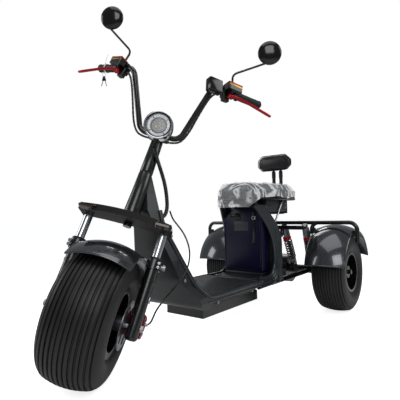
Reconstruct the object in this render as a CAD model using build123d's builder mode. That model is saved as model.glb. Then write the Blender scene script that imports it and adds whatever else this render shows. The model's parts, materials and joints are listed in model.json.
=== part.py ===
from build123d import *
import os
from math import asin, cos, pi, radians, sin, tan

# Electric trike scooter: one fat steered front wheel, a step-through deck between a curved front
# shield and the seat base, a single seat over a removable battery, and two driven rear wheels
# under domed fenders with a tube rack around them.
#
# The frame is +Z up, the front of the trike toward -Y and its left side toward +X. The origin is
# the middle of the bottom of the bounding box, on the floor. Lengths are in millimetres.
# The steering stands turned to the left, on its stop, as the trike is parked.

os.makedirs("parts", exist_ok=True)

# Overall layout
front_axle_y = -733.0  # front axle with the wheel straight, from the middle of the length
wheelbase = 1425.0
track = 711.0
running_gap = 0.05  # radial gap of a shaft in its bore
seat_gap = 0.3  # gap of a curved face on what carries it
slide_gap = 6.0  # gap of pieces that move past each other
overrun = 2.0  # how far a cutting tool passes the face it cuts

# Steering geometry, angles in degrees
rake = 26.5
steer_turn = 37.0
fork_offset = 22.0

# Wheels and tyres
front_tyre_radius = 225.0
front_tyre_width = 208.0
front_crown_radius = 250.0
rear_tyre_radius = 217.0
rear_tyre_width = 178.0
rear_crown_radius = 240.0
crown_half_angle = 16.5
bead_radius = 101.6
front_flange_radius = 118.0
rear_flange_radius = 109.0
bead_width_share = 0.8  # bead spread as a share of the tyre's width
waist_share = 0.5  # height of the tyre's widest point between bead and tread
rim_wall = 5.0
rim_web = 6.0
window_share = 0.28  # radius of a window as a share of the web's depth
hub_radius = 34.0
front_hub_half = 62.0
rear_hub_half = 58.0
front_axle_radius = 8.0
rear_axle_radius = 12.5
disc_radius = 82.0
disc_thickness = 3.0
disc_hub_radius = 26.0
disc_hole_radius = 2.6
disc_hole_count = 24

# Fork and steering head, heights along the steering axis from its foot beside the axle
stanchion_x = 143.0
stanchion_radius = 16.0
stanchion_top = 366.0
stanchion_foot = 150.0
leg_radius = 22.0
leg_top = 232.0
leg_foot = -34.0
clamp_radius = 27.0
clamp_height = 34.0
crown_bottom = 332.0
crown_thickness = 24.0
crown_arch = 14.0
crown_front = 78.0
crown_back = 24.0
stem_radius = 16.0
stem_top = 726.0
stem_cover_radius = 20.0
head_tube_radius = 23.0
head_tube_bottom = 376.0
head_tube_top = 560.0

# Handlebar and controls: out to the side, back from the steering axis, and up along it
bar_radius = 11.5
bar_low_x = 84.0
bar_low_up = 744.0
riser_top_x = 168.0
riser_top_back = -108.0
riser_top_up = 962.0
bar_end_x = 366.0
bar_end_back = 24.0
bar_end_up = 1026.0
bar_bend_radius = 42.0
grip_length = 128.0
grip_radius = 16.5
clamp_overlap = 6.0  # how far the bar clamp reaches over the bar
perch_length = 30.0
perch_radius = 18.0
reservoir_length = 70.0
reservoir_depth = 38.0
reservoir_height = 26.0
reservoir_corner = 8.0
reservoir_drop = 12.0  # reservoir's foot below the middle of the bar
lid_thickness = 5.0
lever_width = 14.0
lever_thickness = 7.0
lever_pivot_x = 238.0
lever_pivot_back = -88.0
lever_pivot_up = 942.0
lever_boss_radius = 9.0
lever_tip_x = 421.0
lever_tip_back = -29.0
lever_tip_up = 933.0
lever_heel = 18.0
pod_width = 34.0
pod_height = 44.0
pod_depth = 24.0
display_width = 62.0
display_height = 56.0
display_depth = 34.0
display_drop_share = 0.55  # share of the display that hangs below the middle of the bar
lamp_radius = 56.0
lamp_depth = 74.0
lamp_up = 738.0
lamp_front = 122.0
lamp_x = 10.0
lamp_glass = 10.0
lamp_bezel = 5.0
lamp_nod = 14.0  # degrees that the lamp looks down from the steering's own front
lamp_bracket_width = 40.0
lamp_bracket_height = 16.0
mirror_x = 356.0
mirror_up = 1212.0
mirror_back = -96.0
mirror_radius = 50.0
mirror_depth = 20.0
mirror_rim = 4.0
mirror_stem_radius = 4.5
mirror_stem_rise = 76.0
mirror_bend_radius = 18.0
signal_length = 58.0
signal_height = 16.0
signal_depth = 24.0
signal_x = 141.0
signal_up = 341.0
caliper_width = 68.5
caliper_outset = 15.75  # caliper's middle outside the disc's
caliper_depth = 48.0
caliper_start = 50.0  # caliper's near face behind the axle
caliper_height = 84.0
caliper_slot = 9.0
caliper_rise = 12.0  # caliper's middle above the front axle, along the leg
caliper_bracket = 22.0

# Cables, points in the steering's frame chosen by hand from the photographed route
bundle_radius = 8.0
bundle_route = ((6, -29, 664), (22, -26, 634), (48, -2, 598), (76, 30, 558), (98, 54, 512),
                (113, 70, 466))
hose_radius = 3.2
hose_route = ((125, 72, 462), (139, 86, 440), (166, 104, 424), (202, 114, 398), (236, 116, 352),
              (252, 106, 302), (253, 90, 250), (240, 70, 200), (222, 54, 156), (204, 43, 114),
              (190, 42, 78), (187, 42, 50), (184, 41, 32), (175, 39, 21), (163.5, 39, 21))
riser_cable_radius = 4.5
riser_cable_lead = 44.0
shield_entry_x = 45.0
shield_entry_height = 548.0
shield_entry_lead = 24.0
bend_share = 0.45  # share of the shorter run that a cord's arc takes
leave_share = 0.62  # share of the riser that the cable follows
clear_share = 1.25  # how far the cable stands from the riser, as a share of touching it

# Front fender
fender_gap = 12.0
fender_rise = 26.0
fender_skin = 3.0
front_fender_half = 106.0
front_fender_start = 45.0  # degrees behind the top of the wheel
front_fender_sweep = 95.0
fender_lug_width = 30.0

# Body, heights above the floor and lengths back from the front axle
cover_top = 575.0
cover_knee = 640.0
cover_tip = 706.0
cover_tip_back = 292.0
neck_back = 300.0
neck_front = 236.0
neck_knee = 500.0
deck_height = 228.0
deck_corner = 425.0
deck_bend = 77.0
deck_half_width = 173.0
deck_front = 474.0
deck_back = 868.0
deck_edge = 22.0
belly_height = 166.0
belly_front = 420.0
shin_front = 325.0
shin_height = 300.0
neck_half_width = 42.0
base_half_width = 150.0
base_top_half = 97.0
base_back = 1106.0
base_inner = 1062.0
base_knee = 430.0
base_bend = 60.0
base_top = 596.0
base_lip = 945.0
base_crest = 1010.0
base_shoulder = 440.0
battery_half_width = 118.0
battery_face = 978.0
battery_low = 246.0
battery_high = 556.0
battery_corner = 14.0
battery_chamfer = 45.0
plinth_front = 985.0
box_half_width = 102.0
box_front = 489.0
box_back = 944.0
box_low = 119.0
neck_radius = 20.0

# Seat
seat_front = 872.0
seat_back = 1378.0
seat_waist = 1130.0
seat_low = 604.0
seat_high = 714.0
seat_half_width = 138.0
nose_half_width = 84.0
seat_corner = 58.0
seat_edge = 38.0
tray_thickness = 8.0
seat_box_front = 1064.0
seat_box_back = 1338.0
seat_box_low = 534.0
seat_box_half = 96.0
stay_width = 16.0
stay_thickness = 5.0
stay_low_back = 1110.0
stay_high_back = 1236.0
backrest_half_width = 110.0
backrest_low = 816.0
backrest_high = 914.0
backrest_depth = 42.0
backrest_chamfer = 30.0
post_x = 24.0
post_y = 1414.0
post_radius = 8.0

# Rear frame, axle and suspension
beam_y = 1255.0
beam_height = 470.0
beam_half = 226.0
frame_tube_radius = 12.0
spine_x = 100.0
arm_pivot_x = 100.0
arm_pivot_height = 176.0
arm_bend_y = 1200.0
arm_foot_x = 200.0
arm_radius = 14.0
hanger_top = 426.0
hanger_foot = 196.0
hanger_width = 14.0
housing_radius = 24.0
housing_half = 262.0
motor_radius = 84.0
motor_half = 74.0
axle_half = 430.0
shock_radius = 15.0
shock_eye_radius = 16.0
shock_eye_width = 24.0
shock_spring_radius = 22.0
inner_shock_x = 100.0
outer_shock_x = 226.0
shock_foot_y = 1392.0
shock_foot_height = 262.0
spring_start_share = 0.4  # start of the spring as a share of the shock's length
spring_share = 0.48

# Rear fenders and the tube frame that holds them
rear_fender_radius = 262.0
rear_fender_middle = 361.0
rear_fender_half = 103.0
rear_fender_rise = 33.0
rear_fender_fall = 13.0  # how much lower the outer edge is than the inner one
rear_fender_start = 13.0  # degrees above level at the front
rear_fender_sweep = 148.0
hoop_y = 1352.0
hoop_height = 495.0
hoop_inner_x = 238.0
hoop_outer_x = 490.0
hoop_radius = 11.0
hoop_bend = 42.0
hoop_outer_foot = 388.0
hoop_inner_foot = 430.0
upright_x = 188.0
upright_foot = 252.0
hoop_lug_height = 32.0
inner_lug_height = 450.0
outer_lug_height = 436.0
lamp_bar_width = 140.0
lamp_bar_height = 34.0
lamp_bar_depth = 22.0


def aft(distance):
    """Place along Y of a point that far behind the front axle."""
    return front_axle_y + distance


# The turned wheel leans by this angle and rests on its crown arc, which sets the axle's height.
lean = asin(sin(radians(rake)) * sin(radians(steer_turn)))
turned_axle_height = (front_tyre_radius - front_crown_radius) * cos(lean) + front_crown_radius
foot_height = turned_axle_height - fork_offset * sin(radians(rake)) * cos(radians(steer_turn))
foot_y = front_axle_y + fork_offset * cos(radians(rake))
steering_axis = Vector(0, sin(radians(rake)), cos(radians(rake)))
turned_left = Vector(1, 0, 0).rotate(Axis((0, 0, 0), steering_axis), steer_turn)
steering_plane = Plane(origin=(0, foot_y, foot_height), x_dir=turned_left, z_dir=steering_axis)
steering_place = steering_plane.location
front_wheel_place = steering_place * Location((0, -fork_offset, 0))
home = Location((0, 0, 0))
sides = (("left", 1), ("right", -1))


def save(piece, label, place=home):
    """Sets one finished piece in place and writes it under its name."""
    made = piece.moved(place)
    made.label = label
    export_step(made, f"parts/{label}.step")


def tube(points, radius, bend):
    """A round bar along straight runs joined by arcs of one radius."""
    with BuildPart() as made:
        with BuildLine() as route:
            if len(points) > 2:
                FilletPolyline(*points, radius=bend)
            else:
                Line(*points)
        with BuildSketch(Plane(origin=route.wire() @ 0, z_dir=route.wire() % 0)):
            Circle(radius)
        sweep(path=route.wire())
    return made.part


def mirrored(points):
    """The same points on the other side of the trike."""
    return [(-x, y, z) for x, y, z in points]


# Tyres and rims, drawn about the X axis at their own centre


def tyre_solid(radius, width, crown_radius, flange_radius):
    """A tyre as a ring: a crown arc, two bulged side walls, and beads between the flanges."""
    shoulder_x = crown_radius * sin(radians(crown_half_angle))
    shoulder = radius - crown_radius * (1 - cos(radians(crown_half_angle)))
    bead_x = width / 2 * bead_width_share
    bead_top = flange_radius + seat_gap
    waist = bead_top + (radius - bead_top) * waist_share
    with BuildPart() as made:
        with BuildSketch(Plane.XY):
            with BuildLine():
                ThreePointArc((-shoulder_x, shoulder), (0, radius), (shoulder_x, shoulder))
                ThreePointArc((shoulder_x, shoulder), (width / 2, waist), (bead_x, bead_top))
                Polyline((bead_x, bead_top), (bead_x, bead_radius), (-bead_x, bead_radius),
                         (-bead_x, bead_top))
                ThreePointArc((-bead_x, bead_top), (-width / 2, waist), (-shoulder_x, shoulder))
            make_face()
        revolve(axis=Axis.X)
    return made.part


def rim_solid(width, flange_radius, hub_half, bore_radius, web_x):
    """A pressed steel rim: a barrel with two flanges, a web with five windows, and a hub."""
    half = width / 2 * bead_width_share
    outer = bead_radius - seat_gap
    with BuildPart() as made:
        with BuildSketch(Plane.XY):
            with BuildLine():
                Polyline((-half - rim_wall, flange_radius), (-half - seat_gap, flange_radius),
                         (-half - seat_gap, outer), (half + seat_gap, outer),
                         (half + seat_gap, flange_radius), (half + rim_wall, flange_radius),
                         (half + rim_wall, outer - rim_wall), (-half - rim_wall, outer - rim_wall),
                         close=True)
            make_face()
        revolve(axis=Axis.X)
        with BuildSketch(Plane.YZ.offset(web_x - rim_web / 2)):
            Circle(outer - rim_wall / 2)
            with PolarLocations((outer + hub_radius) / 2, 5):
                Circle((outer - hub_radius) * window_share, mode=Mode.SUBTRACT)
        extrude(amount=rim_web)
        with BuildSketch(Plane.YZ.offset(-hub_half)):
            Circle(hub_radius)
        extrude(amount=2 * hub_half)
        with BuildSketch(Plane.YZ.offset(-hub_half - overrun)):
            Circle(bore_radius)
        extrude(amount=2 * (hub_half + overrun), mode=Mode.SUBTRACT)
    return made.part


save(tyre_solid(front_tyre_radius, front_tyre_width, front_crown_radius, front_flange_radius),
     "front_tyre", front_wheel_place)
save(rim_solid(front_tyre_width, front_flange_radius, front_hub_half,
               front_axle_radius + running_gap, -front_hub_half / 2), "front_rim",
     front_wheel_place)

for side, sign in sides:
    rear_wheel_place = Location((sign * track / 2, aft(wheelbase), rear_tyre_radius))
    save(tyre_solid(rear_tyre_radius, rear_tyre_width, rear_crown_radius, rear_flange_radius),
         f"rear_tyre_{side}", rear_wheel_place)
    save(rim_solid(rear_tyre_width, rear_flange_radius, rear_hub_half,
                   rear_axle_radius + running_gap, -sign * rear_hub_half / 2),
         f"rear_rim_{side}", rear_wheel_place)

# Brake disc on the left of the front hub, inside the fork leg
disc_x = stanchion_x - leg_radius - slide_gap - disc_thickness
with BuildPart() as front_brake_disc:
    with BuildSketch(Plane.YZ.offset(disc_x)):
        Circle(disc_radius)
        Circle(front_axle_radius + running_gap, mode=Mode.SUBTRACT)
        with PolarLocations((disc_radius + disc_hub_radius) / 2, 6):
            Circle((disc_radius - disc_hub_radius) * window_share, mode=Mode.SUBTRACT)
        with PolarLocations(disc_radius - 2 * disc_hole_radius, disc_hole_count):
            Circle(disc_hole_radius, mode=Mode.SUBTRACT)
    extrude(amount=disc_thickness)
    with BuildSketch(Plane.YZ.offset(front_hub_half)):
        Circle(disc_hub_radius)
        Circle(front_axle_radius + running_gap, mode=Mode.SUBTRACT)
    extrude(amount=disc_x - front_hub_half)
save(front_brake_disc.part, "front_brake_disc", front_wheel_place)

# Fork: crown, stanchions, legs and axle
crown_reach = stanchion_x + clamp_radius
crown_top = crown_bottom + crown_thickness
crown_cut = crown_thickness + crown_arch + 2 * overrun
with BuildPart() as fork_crown:
    with BuildSketch(Plane.XZ.offset(-crown_back)):
        with BuildLine():
            ThreePointArc((-crown_reach, crown_bottom), (0, crown_bottom + crown_arch),
                          (crown_reach, crown_bottom))
            Line((crown_reach, crown_bottom), (crown_reach, crown_top))
            ThreePointArc((crown_reach, crown_top), (0, crown_top + crown_arch),
                          (-crown_reach, crown_top))
            Line((-crown_reach, crown_top), (-crown_reach, crown_bottom))
        make_face()
    extrude(amount=crown_front + crown_back)
    with BuildSketch(Plane.XY.offset(crown_bottom - overrun)):
        for sign in (-1, 1):
            with BuildLine():
                Polyline((sign * (crown_reach + overrun), crown_back + overrun),
                         (sign * 2 * stem_radius, crown_back + overrun),
                         (sign * stanchion_x, clamp_radius - fork_offset),
                         (sign * (crown_reach + overrun), clamp_radius - fork_offset), close=True)
            make_face()
        with Locations((-stanchion_x, -fork_offset), (stanchion_x, -fork_offset)):
            Circle(stanchion_radius + running_gap)
        Circle(stem_radius + running_gap)
    extrude(amount=crown_cut, mode=Mode.SUBTRACT)
save(fork_crown.part, "fork_crown", steering_place)

with BuildPart() as stanchions:
    with BuildSketch(Plane.XY.offset(stanchion_foot)):
        with Locations((-stanchion_x, -fork_offset), (stanchion_x, -fork_offset)):
            Circle(stanchion_radius)
    extrude(amount=stanchion_top - stanchion_foot)
save(stanchions.part, "fork_stanchions", steering_place)

for side, sign in sides:
    with BuildPart() as fork_leg:
        with BuildSketch(Plane.XY.offset(leg_foot)):
            with Locations((sign * stanchion_x, -fork_offset)):
                Circle(leg_radius)
        extrude(amount=leg_top - leg_foot)
        with BuildSketch(Plane.XY.offset(leg_top - clamp_height)):
            with Locations((sign * stanchion_x, -fork_offset)):
                Circle(clamp_radius)
        extrude(amount=clamp_height)
        with BuildSketch(Plane.XY.offset(stanchion_foot)):
            with Locations((sign * stanchion_x, -fork_offset)):
                Circle(stanchion_radius + running_gap)
        extrude(amount=leg_top - stanchion_foot + overrun, mode=Mode.SUBTRACT)
        with BuildSketch(Plane.YZ.offset(sign * stanchion_x - leg_radius - overrun)):
            with Locations((-fork_offset, 0)):
                Circle(front_axle_radius + running_gap)
        extrude(amount=2 * (leg_radius + overrun), mode=Mode.SUBTRACT)
    save(fork_leg.part, f"fork_leg_{side}", steering_place)

nut_start = stanchion_x + leg_radius
with BuildPart() as front_axle:
    with BuildSketch(Plane.YZ.offset(-nut_start - front_axle_radius)):
        Circle(front_axle_radius)
    extrude(amount=2 * (nut_start + front_axle_radius))
    for start in (-nut_start - front_axle_radius, nut_start):
        with BuildSketch(Plane.YZ.offset(start)):
            RegularPolygon(front_axle_radius * 1.5, 6)
        extrude(amount=front_axle_radius)
save(front_axle.part, "front_axle", front_wheel_place)

with BuildPart() as steering_stem:
    with BuildSketch(Plane.XY.offset(crown_bottom)):
        Circle(stem_radius)
    extrude(amount=stem_top - crown_bottom)
    with BuildSketch(Plane.XY.offset(head_tube_top + seat_gap)):
        Circle(stem_cover_radius)
    extrude(amount=stem_top - head_tube_top - seat_gap)
save(steering_stem.part, "steering_stem", steering_place)

# Handlebar, its clamp and the controls on it
half_bar = [(bar_end_x, bar_end_back, bar_end_up), (riser_top_x, riser_top_back, riser_top_up),
            (bar_low_x, 0, bar_low_up)]
save(tube(mirrored(half_bar) + half_bar[::-1], bar_radius, bar_bend_radius), "handlebar",
     steering_place)

clamp_half = bar_low_x - bar_bend_radius
with BuildPart() as bar_clamp:
    with BuildSketch(Plane.XY.offset(stem_top)):
        RectangleRounded(2 * clamp_half, 4 * bar_radius, bar_radius)
    extrude(amount=bar_low_up + bar_radius + clamp_overlap - stem_top)
    with BuildSketch(Plane.YZ.offset(-clamp_half - overrun)):
        with Locations((0, bar_low_up)):
            Circle(bar_radius + running_gap)
    extrude(amount=2 * (clamp_half + overrun), mode=Mode.SUBTRACT)
save(bar_clamp.part, "bar_clamp", steering_place)


def bar_frame(sign):
    """The end of the bar on one side, with the directions along it, forward and up."""
    bar_end = Vector(sign * bar_end_x, bar_end_back, bar_end_up)
    bend = Vector(sign * riser_top_x, riser_top_back, riser_top_up)
    along = (bar_end - bend).normalized()
    ahead = along.cross(Vector(0, 0, 1)).normalized() * sign
    rise = ahead.cross(along) * sign
    return bar_end, along, ahead, rise


grips = Part()
masters = Part()
lids = Part()
levers = Part()
pods = Part()
mirrors = Part()
for side, sign in sides:
    bar_end, along, ahead, rise = bar_frame(sign)
    grip_start = bar_end - along * grip_length
    with BuildPart() as grip:
        with BuildSketch(Plane(origin=grip_start, z_dir=along)):
            Circle(grip_radius)
            Circle(bar_radius + running_gap, mode=Mode.SUBTRACT)
        extrude(amount=grip_length)
    grips += grip.part

    perch_start = grip_start - along * (perch_length + slide_gap)
    perch_middle = perch_start + along * perch_length / 2
    tank_middle = perch_middle + ahead * (bar_radius + overrun + reservoir_depth / 2)
    tank_middle -= rise * reservoir_drop
    tank_foot = tank_middle - along * (reservoir_length - perch_length) / 2
    with BuildPart() as master:
        with BuildSketch(Plane(origin=perch_start, z_dir=along)):
            Circle(perch_radius)
        extrude(amount=perch_length)
        with BuildSketch(Plane(origin=perch_middle, x_dir=along, z_dir=ahead)):
            Rectangle(perch_length, 2 * bar_radius)
        extrude(amount=perch_radius + reservoir_depth / 2)
        with BuildSketch(Plane(origin=tank_foot, x_dir=along, z_dir=rise)):
            RectangleRounded(reservoir_length, reservoir_depth, reservoir_corner)
        extrude(amount=reservoir_height)
        with BuildSketch(Plane(origin=perch_start - along * overrun, z_dir=along)):
            Circle(bar_radius + running_gap)
        extrude(amount=perch_length + 2 * overrun, mode=Mode.SUBTRACT)
    pivot = Vector(sign * lever_pivot_x, lever_pivot_back, lever_pivot_up)
    boss_foot = pivot.Z + lever_width
    with BuildPart() as pivot_boss:
        with BuildSketch(Plane.XY.offset(boss_foot)):
            with Locations((pivot.X, pivot.Y)):
                Circle(lever_boss_radius)
        extrude(amount=perch_middle.Z + overrun - boss_foot)
    masters += master.part + pivot_boss.part
    with BuildPart() as lid:
        with BuildSketch(Plane(origin=tank_foot + rise * reservoir_height, x_dir=along,
                               z_dir=rise)):
            RectangleRounded(reservoir_length, reservoir_depth, reservoir_corner)
        extrude(amount=lid_thickness)
    lids += lid.part

    reach = Vector(sign * lever_tip_x, lever_tip_back, lever_tip_up) - pivot
    with BuildPart() as lever:
        with BuildSketch(Plane(origin=pivot, x_dir=reach.normalized(), z_dir=(0, 0, 1))):
            with Locations((reach.length / 2, 0)):
                SlotOverall(reach.length, lever_thickness)
            with Locations((lever_thickness / 2, -lever_heel / 2 * sign)):
                SlotOverall(lever_heel + lever_thickness, lever_thickness, rotation=90)
        extrude(amount=lever_width)
    levers += lever.part

    pod_middle = perch_start - along * (pod_width / 2 + slide_gap)
    with BuildPart() as pod:
        with BuildSketch(Plane(origin=pod_middle + rise * perch_radius, x_dir=along,
                               z_dir=-rise)):
            RectangleRounded(pod_width, pod_depth, reservoir_corner)
        extrude(amount=pod_height + perch_radius)
        with BuildSketch(Plane(origin=pod_middle - along * pod_width, z_dir=along)):
            Circle(bar_radius + running_gap)
        extrude(amount=2 * pod_width, mode=Mode.SUBTRACT)
    pods += pod.part

    mirror_centre = Vector(sign * mirror_x, mirror_back, mirror_up)
    stem_foot = perch_middle + rise * perch_radius
    stem_kink = stem_foot + rise * mirror_stem_rise
    face = Vector(0, cos(radians(rake)), sin(radians(rake)))
    below = Vector(0, sin(radians(rake)), -cos(radians(rake)))
    stem_tip = mirror_centre + below * (mirror_radius - mirror_rim) - face * mirror_rim
    with BuildPart() as mirror:
        with BuildSketch(Plane(origin=mirror_centre, x_dir=(1, 0, 0), z_dir=-face)):
            Circle(mirror_radius)
        extrude(amount=mirror_depth, taper=20)
        with BuildLine() as stalk:
            FilletPolyline(stem_foot, stem_kink, stem_tip, radius=mirror_bend_radius)
        with BuildSketch(Plane(origin=stalk.wire() @ 0, z_dir=stalk.wire() % 0)):
            Circle(mirror_stem_radius)
        sweep(path=stalk.wire())
    mirrors += mirror.part
save(grips, "grips", steering_place)
save(masters, "master_cylinders", steering_place)
save(lids, "reservoir_lids", steering_place)
save(levers, "brake_levers", steering_place)
save(pods, "switch_pods", steering_place)
save(mirrors, "mirrors", steering_place)

# Display on the front of the bar, at the top of the left riser
bar_end, along, ahead, rise = bar_frame(1)
display_foot = Vector(riser_top_x, riser_top_back, riser_top_up)
display_foot += ahead * (bar_radius + display_depth / 2 + seat_gap)
display_foot -= rise * display_height * display_drop_share
with BuildPart() as display:
    with BuildSketch(Plane(origin=display_foot, x_dir=along, z_dir=rise)):
        RectangleRounded(display_width, display_depth, reservoir_corner)
    extrude(amount=display_height)
save(display.part, "display", steering_place)

# Headlamp ahead of the clamp, with its glass and its bracket
lamp_place = Location((lamp_x, -lamp_front + lamp_depth, lamp_up), (1, 0, 0), lamp_nod)
lamp_waist = lamp_depth - lamp_glass - lamp_bezel
with BuildPart() as headlamp:
    with BuildSketch(Plane.XZ.offset(lamp_depth - lamp_waist)):
        Circle(lamp_radius)
    extrude(amount=lamp_waist)
    with BuildSketch(Plane.XZ.offset(lamp_depth - lamp_waist)):
        Circle(lamp_radius)
    extrude(amount=-(lamp_depth - lamp_waist), taper=45)
    with BuildSketch(Plane.XZ.offset(lamp_depth - lamp_glass)):
        Circle(lamp_radius - lamp_bezel)
    extrude(amount=lamp_glass + overrun, mode=Mode.SUBTRACT)
with BuildPart() as headlamp_glass:
    with BuildSketch(Plane.XZ.offset(lamp_depth - lamp_glass)):
        Circle(lamp_radius - lamp_bezel - seat_gap)
    extrude(amount=lamp_glass - overrun)
with BuildPart() as lamp_bracket:
    with BuildSketch(Plane.XZ.offset(2 * bar_radius)):
        with Locations((0, lamp_up)):
            Rectangle(lamp_bracket_width, lamp_bracket_height)
    extrude(amount=lamp_front - lamp_depth - 2 * bar_radius + lamp_bezel)
save(headlamp.part.moved(lamp_place) + lamp_bracket.part, "headlamp", steering_place)
save(headlamp_glass.part, "headlamp_glass", steering_place * lamp_place)

# Turn signals on the front face of the crown
signals = Part()
for side, sign in sides:
    with BuildPart() as signal:
        with BuildSketch(Plane.XZ.offset(crown_front)):
            with Locations((sign * signal_x, signal_up)):
                SlotOverall(signal_length, signal_height)
        extrude(amount=signal_depth, taper=10)
    signals += signal.part
save(signals, "turn_signals", steering_place)

# Caliper over the back of the disc, bolted behind the left leg
disc_middle = disc_x + disc_thickness / 2
caliper_middle = disc_middle + caliper_outset
with BuildPart() as brake_caliper:
    with BuildSketch(Plane.XZ.offset(-caliper_start)):
        with Locations((caliper_middle, caliper_rise)):
            RectangleRounded(caliper_width, caliper_height, reservoir_corner)
    extrude(amount=-caliper_depth)
    with BuildSketch(Plane.YZ.offset(disc_middle - caliper_slot / 2)):
        Circle(disc_radius + slide_gap)
    extrude(amount=caliper_slot, mode=Mode.SUBTRACT)
    with BuildSketch(Plane.XZ.offset(-leg_radius - seat_gap)):
        with Locations((stanchion_x, caliper_rise)):
            Rectangle(caliper_bracket, caliper_bracket)
    extrude(amount=-(caliper_start - leg_radius + caliper_bracket / 2))
save(brake_caliper.part, "brake_caliper", front_wheel_place)

# Front fender: a domed shell round the top of the tyre, with a lug to each leg
fender_crest = front_tyre_radius + fender_gap + fender_rise / 2
lug_reach = stanchion_x - clamp_radius - seat_gap


def fender_shell(crest, half):
    """A domed strip with a constant wall, drawn above the wheel's axis."""
    edge = crest - fender_rise
    with BuildSketch(Plane.XZ) as made:
        with BuildLine():
            ThreePointArc((-half, edge), (0, crest), (half, edge))
            Line((half, edge), (half, edge + fender_skin))
            ThreePointArc((half, edge + fender_skin), (0, crest + fender_skin),
                          (-half, edge + fender_skin))
            Line((-half, edge + fender_skin), (-half, edge))
        make_face()
    return made.sketch


with BuildPart() as front_fender:
    with BuildSketch(Plane.XZ.rotated((-front_fender_start, 0, 0))):
        add(fender_shell(fender_crest, front_fender_half))
    revolve(axis=Axis.X, revolution_arc=front_fender_sweep)
    with BuildSketch(Plane.XY.offset(fender_crest - fender_rise)):
        for side, sign in sides:
            with Locations((sign * (front_fender_half + lug_reach) / 2 - sign * fender_skin, 0)):
                Rectangle(lug_reach - front_fender_half + 2 * fender_skin, fender_lug_width)
    extrude(amount=fender_skin)
save(front_fender.part, "front_fender", front_wheel_place)


def cord(route, radius):
    """A cord along straight runs and arcs, each as large as its two runs allow."""
    points = [Vector(*point) for point in route]
    bends = []
    for before, point, after in zip(points, points[1:], points[2:]):
        turn = (point - before).get_angle(after - point)
        run = min((point - before).length, (after - point).length)
        bends.append(bend_share * run / tan(radians(turn / 2)))
    with BuildPart() as made:
        with BuildLine() as path:
            FilletPolyline(*points, radius=bends)
        with BuildSketch(Plane(origin=path.wire() @ 0, z_dir=path.wire() % 0)):
            Circle(radius)
        sweep(path=path.wire())
    length = path.wire().length
    print(f"cord {length:.0f} long, volume share {made.part.volume / (pi * radius ** 2 * length):.3f},"
          f" radii {[round(bend) for bend in bends]}")
    return made.part


shield_entry = Vector(shield_entry_x, aft(neck_back), shield_entry_height)
bundle_end = tuple(steering_plane.to_local_coords(shield_entry + Vector(0, lead, 0))
                   for lead in (shield_entry_lead, 0))
save(cord(bundle_route + bundle_end, bundle_radius), "cable_bundle", steering_place)
save(cord(hose_route, hose_radius), "brake_hose", steering_place)

# Cables strapped along the front of each riser, from the bundle's top to the switch pods
riser_cables = Part()
for side, sign in sides:
    bar_end, along, ahead, rise = bar_frame(sign)
    bend = Vector(sign * riser_top_x, riser_top_back, riser_top_up)
    low = Vector(sign * bar_low_x, 0, bar_low_up)
    up_riser = (bend - low).normalized()
    beside = along.cross(up_riser).normalized() * sign * (bar_radius + riser_cable_radius + seat_gap)
    pod_entry = (bar_end - along * (grip_length + perch_length + pod_width + 3 * slide_gap)
                 - rise * pod_height / 2)
    start = Vector(*bundle_route[0])
    leave = (start - Vector(*bundle_route[1])).normalized()
    start += leave.cross(Vector(0, sign, 0)).normalized() * (riser_cable_radius + seat_gap)
    start += leave * riser_cable_radius
    riser_route = (start, start + Vector(0, 0, riser_cable_lead),
                   low + beside - Vector(sign * clamp_half, 0, 2 * bar_radius),
                   low + beside * clear_share + Vector(sign * bar_radius, 0, 0),
                   low + beside * clear_share + up_riser * (bend - low).length * leave_share,
                   pod_entry - along * pod_width + beside / 3, pod_entry)
    riser_cables += cord(riser_route, riser_cable_radius)
save(riser_cables, "riser_cables", steering_place)

# Body covers: one side outline, cut to the shield's, the deck's and the seat base's widths
side_outline = (  # behind the front axle, height, corner radius
    (neck_back, cover_top, 0),
    (neck_back, neck_knee, deck_bend),
    (deck_corner, deck_height, deck_bend),
    (base_inner, deck_height, base_bend),
    (base_inner, base_knee, base_bend),
    (base_lip, base_top - deck_edge, 0),
    (base_lip, base_top, 0),
    (base_crest, base_top, 0),
    (base_back, base_shoulder, deck_bend),
    (base_back, belly_height + 3 * deck_edge, deck_bend),
    (deck_back + 2 * deck_bend, belly_height + deck_edge, deck_edge),
    (deck_back, belly_height, 0),
    (belly_front, belly_height, deck_bend),
    (shin_front, shin_height, deck_bend),
    (neck_front, cover_top, 0),
)
shield_outline = (  # half width, height
    (neck_half_width, cover_top + overrun),
    (neck_half_width * 1.5, neck_knee),
    (box_half_width, (shin_height + neck_knee) / 2 - deck_edge),
    (base_half_width * 0.86, shin_height - deck_edge),
    (deck_half_width, deck_height),
    (deck_half_width, deck_height - deck_edge),
    (base_half_width, belly_height - overrun),
)
deck_outline = (
    (deck_half_width, deck_height + overrun),
    (deck_half_width, deck_height - deck_edge),
    (box_half_width, belly_height - overrun),
)
base_outline = (
    (base_top_half, base_top + overrun),
    (base_half_width, base_shoulder),
    (base_half_width, belly_height + deck_edge),
    (box_half_width, belly_height - overrun),
)
with BuildPart() as body_form:
    with BuildSketch(Plane.YZ.offset(-deck_half_width)):
        with BuildLine():
            FilletPolyline(*[(aft(back), up) for back, up, bend in side_outline],
                           radius=[bend for back, up, bend in side_outline], close=True)
        make_face()
    extrude(amount=2 * deck_half_width)


def width_form(outline, start, end):
    """The space inside a front outline between two places behind the front axle."""
    with BuildPart() as made:
        with BuildSketch(Plane.XZ.offset(-aft(end))):
            with BuildLine():
                Polyline(*outline, *[(-x, z) for x, z in outline[::-1]], close=True)
            make_face()
        extrude(amount=end - start)
    return made.part


front_shield = body_form.part & width_form(shield_outline, 0, deck_front)
deck = body_form.part & width_form(deck_outline, deck_front, deck_back)
seat_base = body_form.part & width_form(base_outline, deck_back, base_back + overrun)


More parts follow.
